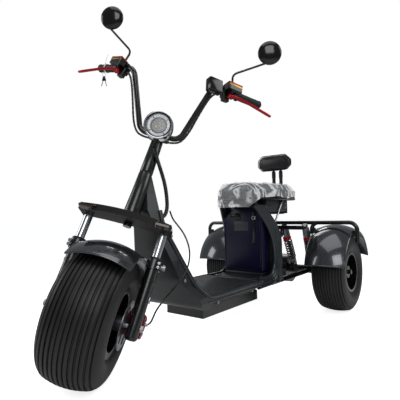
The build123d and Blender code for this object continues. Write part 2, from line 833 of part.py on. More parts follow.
with BuildPart() as battery_plinth:
    with BuildSketch(Plane.XY.offset(deck_height)):
        with Locations((0, (aft(plinth_front) + aft(base_inner)) / 2)):
            Rectangle(2 * battery_half_width, base_inner - plinth_front)
    extrude(amount=battery_low - deck_height)


def battery_block(gap):
    """The battery's block, larger by a gap for the pocket that holds it."""
    with BuildPart() as made:
        with BuildSketch(Plane.XZ.offset(-aft(base_inner + gap))) as face:
            with Locations((0, (battery_low + battery_high) / 2)):
                Rectangle(2 * (battery_half_width + gap), battery_high - battery_low + 2 * gap)
            chamfer(face.vertices().group_by(Axis.Y)[-1], battery_chamfer)
            fillet(face.vertices().group_by(Axis.Y)[0], battery_corner)
        extrude(amount=base_inner + gap - battery_face)
    return made.part


save(battery_block(0), "battery_pack")
with BuildPart() as controller_box:
    with BuildSketch(Plane.XY.offset(box_low)):
        with Locations((0, (aft(box_front) + aft(box_back)) / 2)):
            Rectangle(2 * box_half_width, box_back - box_front)
    extrude(amount=belly_height - box_low)
save(controller_box.part, "controller_box")

# Main frame: head tube and the neck tube that runs down inside the shield
with BuildPart() as head_tube:
    with BuildSketch(Plane.XY.offset(head_tube_bottom)):
        Circle(head_tube_radius)
    extrude(amount=head_tube_top - head_tube_bottom)
with BuildPart() as steerer_bore:
    with BuildSketch(Plane.XY.offset(head_tube_bottom - overrun)):
        Circle(stem_radius + running_gap)
    extrude(amount=head_tube_top - head_tube_bottom + 2 * overrun)
neck_start = Vector(0, foot_y, foot_height) + steering_axis * (head_tube_top - 2 * neck_radius)
neck_route = [neck_start, Vector(0, aft((neck_front + neck_back) / 2), cover_top - deck_edge),
              Vector(0, aft((shin_front + deck_corner) / 2), shin_height)]
neck_tube = tube(neck_route, neck_radius, 2 * neck_radius)
neck_channel = tube(neck_route, neck_radius + seat_gap, 2 * neck_radius)
main_frame = head_tube.part.moved(steering_place) + neck_tube
main_frame -= steerer_bore.part.moved(steering_place)
save(main_frame, "main_frame")
save(front_shield - neck_channel, "front_shield")
save(deck, "deck")
save(seat_base + battery_plinth.part - battery_block(seat_gap), "seat_base")

# Cover behind the head tube, standing on the shield
with BuildPart() as head_channel:
    with BuildSketch(Plane.XY.offset(head_tube_bottom)):
        Circle(head_tube_radius + seat_gap)
    extrude(amount=head_tube_top + overrun - head_tube_bottom)
with BuildPart() as neck_cover:
    with BuildSketch(Plane.YZ.offset(-neck_half_width)):
        with BuildLine():
            Polyline((aft(neck_front), cover_top), (aft(neck_back), cover_top),
                     (aft(neck_back), cover_knee), (aft(cover_tip_back), cover_tip),
                     (aft(cover_tip_back) - head_tube_radius, cover_tip), close=True)
        make_face()
    extrude(amount=2 * neck_half_width)
    with BuildSketch(Plane.XZ.offset(-aft(neck_back))):
        with BuildLine():
            Polyline((-neck_half_width, cover_top), (neck_half_width, cover_top),
                     (head_tube_radius, cover_knee), (head_tube_radius / 2, cover_tip),
                     (-head_tube_radius / 2, cover_tip), (-head_tube_radius, cover_knee),
                     close=True)
        make_face()
    extrude(amount=neck_back - neck_front, mode=Mode.INTERSECT)
save(neck_cover.part - head_channel.part.moved(steering_place) - neck_channel, "neck_cover")

# Seat: tray with its box, cushion, stays and backrest
seat_outline = [(nose_half_width, aft(seat_front)), (seat_half_width, aft(seat_waist)),
                (seat_half_width, aft(seat_back))]
seat_outline = seat_outline + [(-x, y) for x, y in seat_outline[::-1]]


def seat_plan(height):
    """The seat's outline from above, with round corners."""
    with BuildSketch(Plane.XY.offset(height)) as made:
        with BuildLine():
            Polyline(*seat_outline, close=True)
        make_face()
        fillet(made.vertices(), seat_corner)
    return made.sketch


with BuildPart() as seat_cushion:
    add(seat_plan(seat_low))
    extrude(amount=seat_high - seat_low)
    fillet(seat_cushion.faces().sort_by(Axis.Z)[-1].edges(), seat_edge)
save(seat_cushion.part, "seat_cushion")

tray_low = seat_low - tray_thickness
with BuildPart() as seat_tray:
    add(seat_plan(tray_low))
    extrude(amount=tray_thickness)
    with BuildSketch(Plane.XY.offset(tray_low)):
        with Locations((0, aft(seat_back))):
            Rectangle(4 * post_x, 2 * (post_y + 2 * post_radius - seat_back))
    extrude(amount=tray_thickness)
    with BuildSketch(Plane.XY.offset(seat_box_low)):
        with Locations((0, (aft(seat_box_front) + aft(seat_box_back)) / 2)):
            Rectangle(2 * seat_box_half, seat_box_back - seat_box_front)
    extrude(amount=tray_low - seat_box_low)
save(seat_tray.part, "seat_tray")

spine_height = beam_height - 2 * deck_edge
stay_foot = spine_height + frame_tube_radius + seat_gap
stays = Part()
for side, sign in sides:
    stay_x = sign * (seat_box_half + stay_thickness / 2 + seat_gap)
    with BuildPart() as stay:
        with BuildSketch(Plane.YZ.offset(stay_x - stay_thickness / 2)):
            with BuildLine():
                Polyline((aft(stay_high_back), tray_low), (aft(stay_high_back) + stay_width, tray_low),
                         (aft(stay_low_back) + stay_width, stay_foot),
                         (aft(stay_low_back), stay_foot), close=True)
            make_face()
        extrude(amount=stay_thickness)
    stays += stay.part
save(stays, "seat_stays")

with BuildPart() as backrest_posts:
    with BuildSketch(Plane.XY.offset(seat_low)):
        with Locations((-post_x, aft(post_y)), (post_x, aft(post_y))):
            Circle(post_radius)
    extrude(amount=backrest_high - seat_low - backrest_chamfer)
save(backrest_posts.part, "backrest_posts")

with BuildPart() as backrest_pad:
    with BuildSketch(Plane.XZ.offset(-aft(post_y - post_radius - seat_gap))) as pad_front:
        with Locations((0, (backrest_low + backrest_high) / 2)):
            Rectangle(2 * backrest_half_width, backrest_high - backrest_low)
        chamfer(pad_front.vertices(), backrest_chamfer)
    extrude(amount=backrest_depth)
save(backrest_pad.part, "backrest_pad")

# Rear frame: a cross beam on two spines from the seat base
shock_tops = []
for x in (inner_shock_x, outer_shock_x):
    for side, sign in sides:
        top = Vector(sign * x, aft(beam_y) + frame_tube_radius + shock_eye_radius, beam_height)
        foot = Vector(sign * x, aft(shock_foot_y), shock_foot_height)
        shock_tops.append((top, foot, (foot - top).normalized()))


def tube_lug(start, direction, length):
    """A lug that meets the flat end of a shock or an upright."""
    with BuildPart() as made:
        with BuildSketch(Plane(origin=start, x_dir=(1, 0, 0), z_dir=direction)):
            Rectangle(shock_eye_width, 2 * shock_eye_radius)
        extrude(amount=length)
    return made.part


def hanger(x, width, foot, top):
    """An upright bar flat on the back of the seat base."""
    with BuildPart() as made:
        with BuildSketch(Plane.XZ.offset(-aft(base_back))):
            with Locations((x, (foot + top) / 2)):
                Rectangle(width, top - foot)
        extrude(amount=-shock_eye_width)
    return made.part


rear_frame = tube([(-beam_half, aft(beam_y), beam_height), (beam_half, aft(beam_y), beam_height)],
                  frame_tube_radius, 0)
for side, sign in sides:
    rear_frame += tube([(sign * spine_x, aft(base_back), spine_height),
                        (sign * spine_x, aft(beam_y), spine_height),
                        (sign * spine_x, aft(beam_y), beam_height)],
                       frame_tube_radius, 2 * frame_tube_radius)
    rear_frame += hanger(sign * arm_pivot_x, hanger_width, hanger_foot, hanger_top)
for top, foot, downward in shock_tops:
    rear_frame += tube_lug(top, -downward, shock_eye_radius)
save(rear_frame, "rear_frame")

# Axle with its housing, motor, trailing arms and the lugs of the shocks
with BuildPart() as housing:
    for radius, half in ((rear_axle_radius, axle_half), (housing_radius, housing_half),
                         (motor_radius, motor_half)):
        with BuildSketch(Plane.YZ.offset(-half)):
            with Locations((aft(wheelbase), rear_tyre_radius)):
                Circle(radius)
        extrude(amount=2 * half)
rear_axle = housing.part
for side, sign in sides:
    rear_axle += tube([(sign * arm_pivot_x, aft(base_back), arm_pivot_height),
                       (sign * arm_pivot_x, aft(arm_bend_y), arm_pivot_height),
                       (sign * arm_foot_x, aft(wheelbase), rear_tyre_radius)],
                      arm_radius, 3 * arm_radius)
    rear_axle += hanger(sign * arm_pivot_x, 2 * arm_radius, arm_pivot_height, hanger_foot)
uprights = []
for side, sign in sides:
    top = Vector(sign * upright_x, aft(hoop_y), hoop_height)
    downward = (Vector(sign * upright_x, aft(wheelbase), rear_tyre_radius) - top).normalized()
    foot = top + downward * ((upright_foot - top.Z) / downward.Z)
    uprights.append((top, foot, downward))
for top, foot, downward in shock_tops + uprights:
    rear_axle += tube_lug(foot, downward, (rear_tyre_radius - foot.Z) / downward.Z)
save(rear_axle, "rear_axle")

# Coil-over shocks, two on each side
shocks = Part()
for top, foot, downward in shock_tops:
    length = (foot - top).length
    with BuildPart() as shock:
        with BuildSketch(Plane(origin=top, z_dir=downward)):
            Circle(shock_radius)
        extrude(amount=length)
        with BuildSketch(Plane(origin=top + downward * length * spring_start_share,
                               z_dir=downward)):
            Circle(shock_spring_radius)
        extrude(amount=length * spring_share)
    shocks += shock.part
save(shocks, "shocks")

# Rear fenders: domed shells that fall toward the outside, held by the tube frame
rear_fenders = Part()
outer_edge = rear_fender_radius - rear_fender_rise
inner_edge = outer_edge + rear_fender_fall
for side, sign in sides:
    with BuildPart() as rear_fender:
        with BuildSketch(Plane.XZ.rotated((90 - rear_fender_start, 0, 0))):
            with BuildLine():
                ThreePointArc((-sign * rear_fender_half, inner_edge), (0, rear_fender_radius),
                              (sign * rear_fender_half, outer_edge))
                Line((sign * rear_fender_half, outer_edge),
                     (sign * rear_fender_half, outer_edge + fender_skin))
                ThreePointArc((sign * rear_fender_half, outer_edge + fender_skin),
                              (0, rear_fender_radius + fender_skin),
                              (-sign * rear_fender_half, inner_edge + fender_skin))
                Line((-sign * rear_fender_half, inner_edge + fender_skin),
                     (-sign * rear_fender_half, inner_edge))
            make_face()
        revolve(axis=Axis.X, revolution_arc=-rear_fender_sweep)
    rear_fenders += rear_fender.part.moved(
        Location((sign * rear_fender_middle, aft(wheelbase), rear_tyre_radius)))
save(rear_fenders, "rear_fenders")

# Tube frame: a hoop over each wheel, a bar between them, and two uprights
hoops = tube([(-hoop_inner_x - hoop_bend, aft(hoop_y), hoop_height),
              (hoop_inner_x + hoop_bend, aft(hoop_y), hoop_height)], hoop_radius, 0)
fender_inner_x = rear_fender_middle - rear_fender_half
fender_outer_x = rear_fender_middle + rear_fender_half
for side, sign in sides:
    hoops += tube([(sign * hoop_inner_x, aft(hoop_y), hoop_inner_foot),
                   (sign * hoop_inner_x, aft(hoop_y), hoop_height),
                   (sign * hoop_outer_x, aft(hoop_y), hoop_height),
                   (sign * hoop_outer_x, aft(hoop_y), hoop_outer_foot)], hoop_radius, hoop_bend)
    for start, end, height in ((hoop_inner_x, fender_inner_x, inner_lug_height),
                               (fender_outer_x, hoop_outer_x, outer_lug_height)):
        with BuildPart() as fender_lug:
            with BuildSketch(Plane.YZ.offset(sign * start)):
                with Locations((aft(hoop_y), height)):
                    Rectangle(2 * hoop_radius, hoop_lug_height)
            extrude(amount=sign * (end - start))
        hoops += fender_lug.part
for top, foot, downward in uprights:
    hoops += tube([top, foot], hoop_radius, 0)
save(hoops, "fender_hoops")

with BuildPart() as tail_lamp:
    with BuildSketch(Plane.XZ.offset(-aft(seat_box_back))):
        with Locations((0, (seat_box_low + tray_low) / 2)):
            RectangleRounded(lamp_bar_width, lamp_bar_height, reservoir_corner)
    extrude(amount=-lamp_bar_depth)
save(tail_lamp.part, "tail_lamp")
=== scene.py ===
# %% [markdown]
# # Electric trike scooter
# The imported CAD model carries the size, the place and the motion of every part. This lesson dresses
# it: each cell takes one piece or one finish of the real trike, says what it is, and builds it.

import json
import math

import bmesh
import bpy
from mathutils import Matrix, Vector, noise


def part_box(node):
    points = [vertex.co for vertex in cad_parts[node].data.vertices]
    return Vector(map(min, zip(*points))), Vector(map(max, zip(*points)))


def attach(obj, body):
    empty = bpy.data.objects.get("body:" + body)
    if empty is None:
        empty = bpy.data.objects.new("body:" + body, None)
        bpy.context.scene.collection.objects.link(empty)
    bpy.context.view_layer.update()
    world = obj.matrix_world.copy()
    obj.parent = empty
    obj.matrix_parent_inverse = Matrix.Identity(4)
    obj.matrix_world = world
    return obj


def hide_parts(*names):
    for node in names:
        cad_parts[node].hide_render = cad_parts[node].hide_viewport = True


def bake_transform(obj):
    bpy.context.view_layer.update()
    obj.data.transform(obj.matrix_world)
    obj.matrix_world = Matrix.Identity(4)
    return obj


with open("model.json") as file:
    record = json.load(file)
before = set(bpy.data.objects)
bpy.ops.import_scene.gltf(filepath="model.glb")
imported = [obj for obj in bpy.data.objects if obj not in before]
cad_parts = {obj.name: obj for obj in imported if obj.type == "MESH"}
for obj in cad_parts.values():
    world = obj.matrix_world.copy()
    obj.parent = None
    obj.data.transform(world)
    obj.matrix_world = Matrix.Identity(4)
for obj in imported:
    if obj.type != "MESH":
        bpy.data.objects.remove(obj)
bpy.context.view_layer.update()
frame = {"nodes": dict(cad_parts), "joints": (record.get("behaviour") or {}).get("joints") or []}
nodes = frame["nodes"]
joints = {joint["name"]: joint for joint in frame["joints"]}

# %% [markdown]
# ## Where things are
# The fork, the bars and the front wheel turn together about a leaned axis, so their points are
# easiest to give in a frame that turns with them: x to the trike's own left, y back, z up the axis.
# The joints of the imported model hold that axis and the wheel's axle, and nothing is measured twice.

# %% The steering's own frame
steer_foot = Vector(joints["steering_turn"]["pos_m"])
steer_up = Vector(joints["steering_turn"]["axis"]).normalized()
steer_left = Vector(joints["front_wheel_spin"]["axis"]).normalized()
steer_back = steer_up.cross(steer_left).normalized()
axle_front = Vector(joints["front_wheel_spin"]["pos_m"])
axle_left = Vector(joints["rear_wheel_left_spin"]["pos_m"])
axle_right = Vector(joints["rear_wheel_right_spin"]["pos_m"])
MM = 0.001
SIDES = ((1, "left"), (-1, "right"))
WHEELBASE = 1.425  # metres


def placed(x_axis, y_axis, z_axis, origin):
    """A matrix with these three directions as its columns."""
    turned = Matrix((x_axis, y_axis, z_axis)).transposed().to_4x4()
    return Matrix.Translation(origin) @ turned


steering = placed(steer_left, steer_back, steer_up, steer_foot)
front_wheel = placed(steer_left, steer_back, steer_up, axle_front)
rear_wheels = {1: Matrix.Translation(axle_left), -1: Matrix.Translation(axle_right)}
body_place = Matrix.Translation((0, axle_left.y - WHEELBASE, 0))
print("front axle at", [round(value, 3) for value in axle_front])

# %% [markdown]
# ## The camera
# The photograph looks up a little at the trike from its front left, from about knee height. The
# camera was worked out from the wheels, the deck and the bars.

# %% Camera
camera_data = bpy.data.cameras.new("photo_camera")
camera_data.sensor_width = 36.0
camera_data.lens = 34.65
CAMERA_PLACE = (1.094, -0.796, 0.556)
CAMERA_TURNS = (37.787, -2.132, -1.189)
camera = bpy.data.objects.new("photo_camera", camera_data)
bpy.context.scene.collection.objects.link(camera)
bpy.context.scene.camera = camera
turn, pitch, roll = (math.radians(angle) for angle in CAMERA_TURNS)
look = Vector((-math.sin(turn) * math.cos(pitch), math.cos(turn) * math.cos(pitch),
               -math.sin(pitch)))
level = Vector((math.cos(turn), math.sin(turn), 0))
above = level.cross(look)
camera_right = level * math.cos(roll) + above * math.sin(roll)
camera_up = above * math.cos(roll) - level * math.sin(roll)
camera.matrix_world = placed(camera_right, camera_up, -look,
                             body_place @ Vector(CAMERA_PLACE))

# %% [markdown]
# ## Light and floor
# Glossy black parts show their form only through what they reflect, so a product studio sets large
# soft lamps around them. The floor and the world are seen as white, and keep a light grey for
# everything that lights the trike, so that its colours render about as they are written.

# %% Materials, in three helpers


def linear(code):
    """An sRGB hex value as linear red, green, blue and alpha."""
    shares = [int(code[place:place + 2], 16) / 255 for place in (1, 3, 5)]
    return tuple(share / 12.92 if share <= 0.04045 else ((share + 0.055) / 1.055) ** 2.4
                 for share in shares) + (1.0,)


def add_node(tree, kind, settings=None, links=None):
    """One node, with its settings and with what feeds its inputs."""
    node = tree.nodes.new(kind)
    for name, value in (settings or {}).items():
        if isinstance(name, int) or name in node.inputs:
            node.inputs[name].default_value = value
        else:
            setattr(node, name, value)
    for name, (source, output) in (links or {}).items():
        tree.links.new(source.outputs[output], node.inputs[name])
    return node


def new_material(name, **surface):
    """A material with a Principled shader that has these settings."""
    material = bpy.data.materials.new(name)
    material.use_nodes = True
    shader = material.node_tree.nodes["Principled BSDF"]
    for socket, value in surface.items():
        shader.inputs[socket.replace("_", " ")].default_value = value
    return material, material.node_tree, shader


# %% World, floor and lamps
WORLD_LIGHT, FLOOR_GLOW = 0.34, 0.81
FLOOR_HALF = 30.0  # metres
world = bpy.data.worlds.new("studio")
bpy.context.scene.world = world
world.use_nodes = True
tree = world.node_tree
background = tree.nodes["Background"]
background.inputs["Color"].default_value = linear("#C9CCD0")
background.inputs["Strength"].default_value = WORLD_LIGHT
white = add_node(tree, "ShaderNodeBackground", {"Color": (1, 1, 1, 1), "Strength": 1.0})
rays = add_node(tree, "ShaderNodeLightPath")
shown = add_node(tree, "ShaderNodeMixShader", links={
    0: (rays, "Is Camera Ray"), 1: (background, "Background"), 2: (white, "Background")})
tree.links.new(shown.outputs[0], tree.nodes["World Output"].inputs["Surface"])

floor_mesh = bpy.data.meshes.new("floor")
corners = ((-1, -1), (1, -1), (1, 1), (-1, 1))
floor_mesh.from_pydata([(FLOOR_HALF * x, FLOOR_HALF * y, 0) for x, y in corners], [],
                       [(0, 1, 2, 3)])
floor = bpy.data.objects.new("floor", floor_mesh)
bpy.context.scene.collection.objects.link(floor)
painted_floor, tree, shader = new_material("painted_floor", Roughness=0.9,
                                           Base_Color=linear("#F4F4F4"))
glow = add_node(tree, "ShaderNodeEmission", {"Color": (1, 1, 1, 1), "Strength": FLOOR_GLOW})
rays = add_node(tree, "ShaderNodeLightPath")
both = add_node(tree, "ShaderNodeAddShader", links={0: (shader, "BSDF"), 1: (glow, "Emission")})
seen = add_node(tree, "ShaderNodeMixShader", links={
    0: (rays, "Is Camera Ray"), 1: (shader, "BSDF"), 2: (both, "Shader")})
tree.links.new(seen.outputs[0], tree.nodes["Material Output"].inputs["Surface"])
floor_mesh.materials.append(painted_floor)

lamps = (  # place, size, power in watts
    ((2.2, -2.6, 2.6), 1.8, 42.0),
    ((-2.8, -2.2, 2.2), 1.6, 30.0),
    ((2.6, 1.4, 2.4), 1.8, 26.0),
    ((-1.6, 2.6, 2.8), 1.6, 24.0),
    ((0.2, -0.2, 3.4), 2.4, 26.0),
)
for number, (place, size, power) in enumerate(lamps):
    lamp_data = bpy.data.lights.new(f"softbox_{number}", "AREA")
    lamp_data.size = size
    lamp_data.energy = power
    lamp = bpy.data.objects.new(f"softbox_{number}", lamp_data)
    bpy.context.scene.collection.objects.link(lamp)
    lamp.location = place
    lamp.rotation_euler = (Vector((0, 0, 0.5)) - Vector(place)).to_track_quat("-Z", "Y").to_euler()
bpy.context.scene.view_settings.view_transform = "Standard"

# %% [markdown]
# ## Finishes
# Each finish starts from what it is on the trike and how it was made. Patterns are in real sizes: a
# texture's scale is one over the size of its cell in metres, read from the object's own place.

# %% Powder coat, moulded plastic, rubber and vinyl


def grained(name, colour, size, depth, spread=0.06, **surface):
    """A finish with a fine grain: size is a grain's width and depth its height, in millimetres."""
    material, tree, shader = new_material(name, **surface)
    place = add_node(tree, "ShaderNodeTexCoord")
    grain = add_node(tree, "ShaderNodeTexNoise", {"Scale": 1 / (size * MM), "Detail": 3.0},
                     {"Vector": (place, "Object")})
    patches = add_node(tree, "ShaderNodeTexNoise", {"Scale": 9.0, "Detail": 2.0},
                       {"Vector": (place, "Object")})
    bump = add_node(tree, "ShaderNodeBump", {"Strength": 0.35, "Distance": depth * MM},
                    {"Height": (grain, 0)})
    low, high = (tuple(share * change for share in linear(colour)[:3]) + (1,)
                 for change in (1 - 2 * spread, 1 + 2 * spread))
    tint = add_node(tree, "ShaderNodeMix", {"data_type": "RGBA", 6: low, 7: high},
                    {0: (patches, 0)})
    tree.links.new(tint.outputs[2], shader.inputs["Base Color"])
    tree.links.new(bump.outputs[0], shader.inputs["Normal"])
    return material


powder_coat = grained("black_powder_coat", "#090A0B", 1.2, 0.05, Roughness=0.26,
                      Coat_Weight=0.3, Coat_Roughness=0.2)
satin_abs = grained("charcoal_satin_abs", "#15191B", 0.8, 0.04, Roughness=0.3)
grained_abs = grained("black_grained_abs", "#0B0C0D", 1.4, 0.1, Roughness=0.42)
battery_abs = grained("navy_moulded_abs", "#070C28", 1.0, 0.04, Roughness=0.34,
                      Specular_IOR_Level=0.3)
gloss_abs = grained("black_gloss_abs", "#060607", 3.0, 0.01, Roughness=0.14)
tyre_rubber = grained("tyre_rubber", "#0B0B0C", 2.2, 0.2, 0.14, Roughness=0.5)
crown_black = grained("matt_black_casting", "#070708", 1.0, 0.05, Roughness=0.55,
                      Specular_IOR_Level=0.25)
deck_rubber = grained("moulded_deck_rubber", "#171B1D", 1.0, 0.08, Roughness=0.36)
grip_rubber = grained("soft_grip_rubber", "#0A0A0B", 0.9, 0.12, Roughness=0.55)
wrap_plastic = grained("spiral_wrap_polyethylene", "#08090A", 1.5, 0.04, Roughness=0.3)
seat_vinyl = grained("grained_seat_vinyl", "#090A0D", 1.8, 0.18, Roughness=0.36)
grey_abs = grained("grey_textured_abs", "#2B3033", 1.0, 0.08, Roughness=0.36)

# %% Metals and lenses
chrome = grained("chrome_plate", "#D6D8DB", 6.0, 0.01, 0.01, Metallic=1.0, Roughness=0.07)
stanchion_steel = grained("polished_stanchion_steel", "#B9BCC0", 0.4, 0.01, 0.02, Metallic=1.0,
                          Roughness=0.2)
zinc_steel = grained("zinc_plated_steel", "#A6A9AC", 0.8, 0.03, 0.1, Metallic=1.0,
                     Roughness=0.34)
disc_steel = grained("ground_disc_steel", "#9A9DA1", 0.5, 0.02, 0.06, Metallic=1.0,
                     Roughness=0.3)
cast_alloy = grained("cast_alloy", "#8C8F93", 1.2, 0.12, 0.08, Metallic=1.0, Roughness=0.45)
red_anodised = grained("red_anodised_alloy", "#A60E1A", 0.8, 0.02, 0.08, Metallic=0.55,
                       Roughness=0.32)
brass_band = grained("brass_sight_window", "#B08C46", 0.8, 0.02, 0.1, Metallic=1.0,
                     Roughness=0.3)
amber_lens = grained("amber_lens", "#3A2A1E", 2.0, 0.05, 0.05, Roughness=0.15)
red_lens = grained("red_tail_lens", "#6E0A0C", 2.0, 0.05, 0.05, Roughness=0.12)
white_nylon = grained("white_nylon", "#E6E6E4", 1.0, 0.02, 0.02, Roughness=0.5)
mirror_glass = grained("silvered_mirror_glass", "#D9DCDF", 8.0, 0.01, 0.0, Metallic=1.0,
                       Roughness=0.02)

clear_lens, tree, shader = new_material("clear_polycarbonate", Roughness=0.03, IOR=1.585,
                                        Alpha=0.22, Base_Color=linear("#F2F4F6"))
place = add_node(tree, "ShaderNodeTexCoord")
flutes = add_node(tree, "ShaderNodeTexWave", {"Scale": 60.0}, {"Vector": (place, "Object")})
ripple = add_node(tree, "ShaderNodeBump", {"Strength": 0.1, "Distance": 0.0002},
                  {"Height": (flutes, 0)})
tree.links.new(ripple.outputs[0], shader.inputs["Normal"])

# %% Carbon print under lacquer, on the fenders
carbon_print, tree, shader = new_material("carbon_print_lacquer", Metallic=0.7, Roughness=0.22,
                                          Coat_Weight=1.0, Coat_Roughness=0.03)
place = add_node(tree, "ShaderNodeTexCoord")
checks = add_node(tree, "ShaderNodeTexChecker", {
    "Scale": 1 / (2.5 * MM), "Color1": linear("#4C4E52"), "Color2": linear("#34363A")},
    {"Vector": (place, "Object")})
tree.links.new(checks.outputs["Color"], shader.inputs["Base Color"])

# %% [markdown]
# ## What goes on what
# One table holds each finish, its slot in the library and the CAD nodes that wear it. Some nodes
# are replaced by fuller pieces further on, and keep a right finish all the same.

# %% Give every carried-over node its finish
looks = (
    (powder_coat, "painted_steel", "main_frame controller_box backrest_posts rear_frame rear_axle "
     "fender_hoops steering_stem fork_leg_left fork_leg_right handlebar bar_clamp "
     "master_cylinders front_rim rear_rim_left rear_rim_right"),
    (crown_black, "painted_steel", "fork_crown"),
    (satin_abs, "black_plastic", "front_shield seat_base"),
    (grey_abs, "grey_plastic", "neck_cover"),
    (deck_rubber, "black_plastic", "deck"),
    (grained_abs, "black_plastic", "seat_tray switch_pods"),
    (battery_abs, "black_plastic", "battery_pack"),
    (seat_vinyl, "seat_cover", "seat_cushion backrest_pad"),
    (zinc_steel, "bright_steel", "seat_stays front_axle"),
    (cast_alloy, "cast_aluminium", "shocks"),
    (carbon_print, "metallic_grey", "front_fender rear_fenders"),
    (red_lens, "red_lens", "tail_lamp"),
    (wrap_plastic, "rubber", "cable_bundle brake_hose riser_cables"),
    (stanchion_steel, "chrome", "fork_stanchions"),
    (red_anodised, "red_alloy", "brake_caliper brake_levers reservoir_lids"),
    (amber_lens, "amber_lens", "turn_signals"),
    (chrome, "chrome", "headlamp"),
    (clear_lens, "clear_glass", "headlamp_glass"),
    (grip_rubber, "rubber", "grips"),
    (gloss_abs, "gloss_black", "display mirrors"),
    (tyre_rubber, "tyre_rubber", "front_tyre rear_tyre_left rear_tyre_right"),
    (disc_steel, "bright_steel", "front_brake_disc"),
    (brass_band, "bright_steel", ""),
    (white_nylon, "grey_plastic", ""),
    (mirror_glass, "mirror_glass", ""),
)
slot_of = {finish: slot for finish, slot, _ in looks}
for finish, _, names in looks:
    for name in names.split():
        mesh = nodes[name].data
        mesh.materials.clear()
        mesh.materials.append(finish)
print("finished nodes:", sum(len(names.split()) for _, _, names in looks))

# %% [markdown]
# ## Shapes as points and faces
# Most added pieces are one of four simple forms: a profile turned about an axis, a tube along a
# path, a block with soft edges, or a flat outline with a thickness. Each helper returns points and
# faces in millimetres, and one function turns any number of them into an object on its CAD body.

# %% Four forms and the piece that they make
def around(radius, step, count):
    """The y and z of a point on a circle about the x axis, after this many steps of count."""
    return (radius * math.cos(2 * math.pi * step / count),
            radius * math.sin(2 * math.pi * step / count))


def skin(rings, sides, first=True, last=True):
    """The faces that join rings of points one after another, and those that close the ends."""
    faces = [(ring * sides + corner, ring * sides + (corner + 1) % sides,
              (ring + 1) * sides + (corner + 1) % sides, (ring + 1) * sides + corner)
             for ring in range(rings - 1) for corner in range(sides)]
    faces += [tuple(range(sides))[::-1]] if first else []
    return faces + ([tuple(range((rings - 1) * sides, rings * sides))] if last else [])


def lathe(profile, count=64, ring=False):
    """The profile's (radius, place along x) pairs turned about the x axis."""
    size = len(profile)
    points = [(along, *around(radius, step, count))
              for step in range(count) for radius, along in profile]
    spans = size if ring else size - 1
    faces = [(step * size + k, step * size + (k + 1) % size,
              (step + 1) % count * size + (k + 1) % size, (step + 1) % count * size + k)
             for step in range(count) for k in range(spans)]
    return points, faces


def tube(path, radius, sides=12, ends=True):
    """A tube along a path; its radius is a number, or a function of length and angle."""
    path = [Vector(point) for point in path]
    ahead = [(after - before).normalized() for before, after
             in zip(path[:1] + path[:-1], path[1:] + path[-1:])]
    side = ahead[0].orthogonal().normalized()
    points, gone = [], 0.0
    for step, (point, direction) in enumerate(zip(path, ahead)):
        gone += (point - path[step - 1]).length if step else 0
        side = (side - direction * side.dot(direction)).normalized()
        other = direction.cross(side)
        for corner in range(sides):
            angle = 2 * math.pi * corner / sides
            reach = radius(gone, angle) if callable(radius) else radius
            points.append(point + (side * math.cos(angle) + other * math.sin(angle)) * reach)
    return points, skin(len(path), sides, ends, ends)


def from_bmesh(shape):
    """A bmesh as points and faces, and the bmesh is freed."""
    shape.verts.ensure_lookup_table()
    points = [tuple(vertex.co) for vertex in shape.verts]
    faces = [tuple(vertex.index for vertex in face.verts) for face in shape.faces]
    shape.free()
    return points, faces


def block(size, soft=2.0, centre=(0, 0, 0)):
    """A block of this size with rounded edges."""
    shape = bmesh.new()
    bmesh.ops.create_cube(shape, size=1.0, matrix=Matrix.Translation(centre)
                          @ Matrix.Diagonal((*size, 1.0)))
    bmesh.ops.bevel(shape, geom=shape.edges[:], offset=soft, segments=3, profile=0.5,
                    affect="EDGES")
    return from_bmesh(shape)


def plate(outline, low, high, soft=1.0, steps=2):
    """A flat outline in x and y with a thickness along z and soft rims."""
    shape = bmesh.new()
    base = [shape.verts.new((x, y, low)) for x, y in outline]
    face = shape.faces.new(base)
    grown = bmesh.ops.extrude_face_region(shape, geom=[face])
    tops = [item for item in grown["geom"] if isinstance(item, bmesh.types.BMVert)]
    bmesh.ops.translate(shape, verts=tops, vec=(0, 0, high - low))
    rims = [edge for edge in shape.edges
            if abs(edge.verts[0].co.z - edge.verts[1].co.z) < 1e-6]
    bmesh.ops.bevel(shape, geom=rims, offset=soft, segments=steps, profile=0.5, affect="EDGES")
    return from_bmesh(shape)


def moved(shape, place):
    """The same shape under a matrix whose lengths are in millimetres."""
    return [place @ Vector(point) for point in shape[0]], shape[1]


def put(x=0.0, y=0.0, z=0.0, rx=0.0, ry=0.0, rz=0.0):
    """A place in millimetres and turns in degrees, x first."""
    return (Matrix.Translation((x, y, z)) @ Matrix.Rotation(math.radians(rz), 4, "Z")
            @ Matrix.Rotation(math.radians(ry), 4, "Y") @ Matrix.Rotation(math.radians(rx), 4, "X"))


def outward(x, y, z):
    """A place whose x axis points away from the trike's middle plane."""
    return put(x, y, z, ry=0 if x > 0 else 180)


def new_piece(name, shapes, finish, body, where=None, stands_for=(), crease=35.0):
    """One object made of these shapes, in its finish, that moves with a CAD body."""
    where = where or Matrix()
    built = bmesh.new()
    for points, faces in shapes:
        verts = [built.verts.new(where @ (Vector(point) * MM)) for point in points]
        for face in faces:
            built.faces.new([verts[index] for index in face])
    bmesh.ops.remove_doubles(built, verts=built.verts, dist=1e-6)
    bmesh.ops.recalc_face_normals(built, faces=built.faces)
    mesh = bpy.data.meshes.new(name)
    built.to_mesh(mesh)
    built.free()
    mesh.shade_smooth()
    mesh.set_sharp_from_angle(angle=math.radians(crease))
    mesh.materials.append(finish)
    piece = bpy.data.objects.new(name, mesh)
    bpy.context.scene.collection.objects.link(piece)
    if body:
        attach(piece, body)
    if stands_for:
        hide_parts(*stands_for)
    return piece


def on_steering(name, shapes, finish, stands_for=()):
    """A piece that is written in the steering's frame and turns with it."""
    return new_piece(name, shapes, finish, "steering", steering, stands_for)


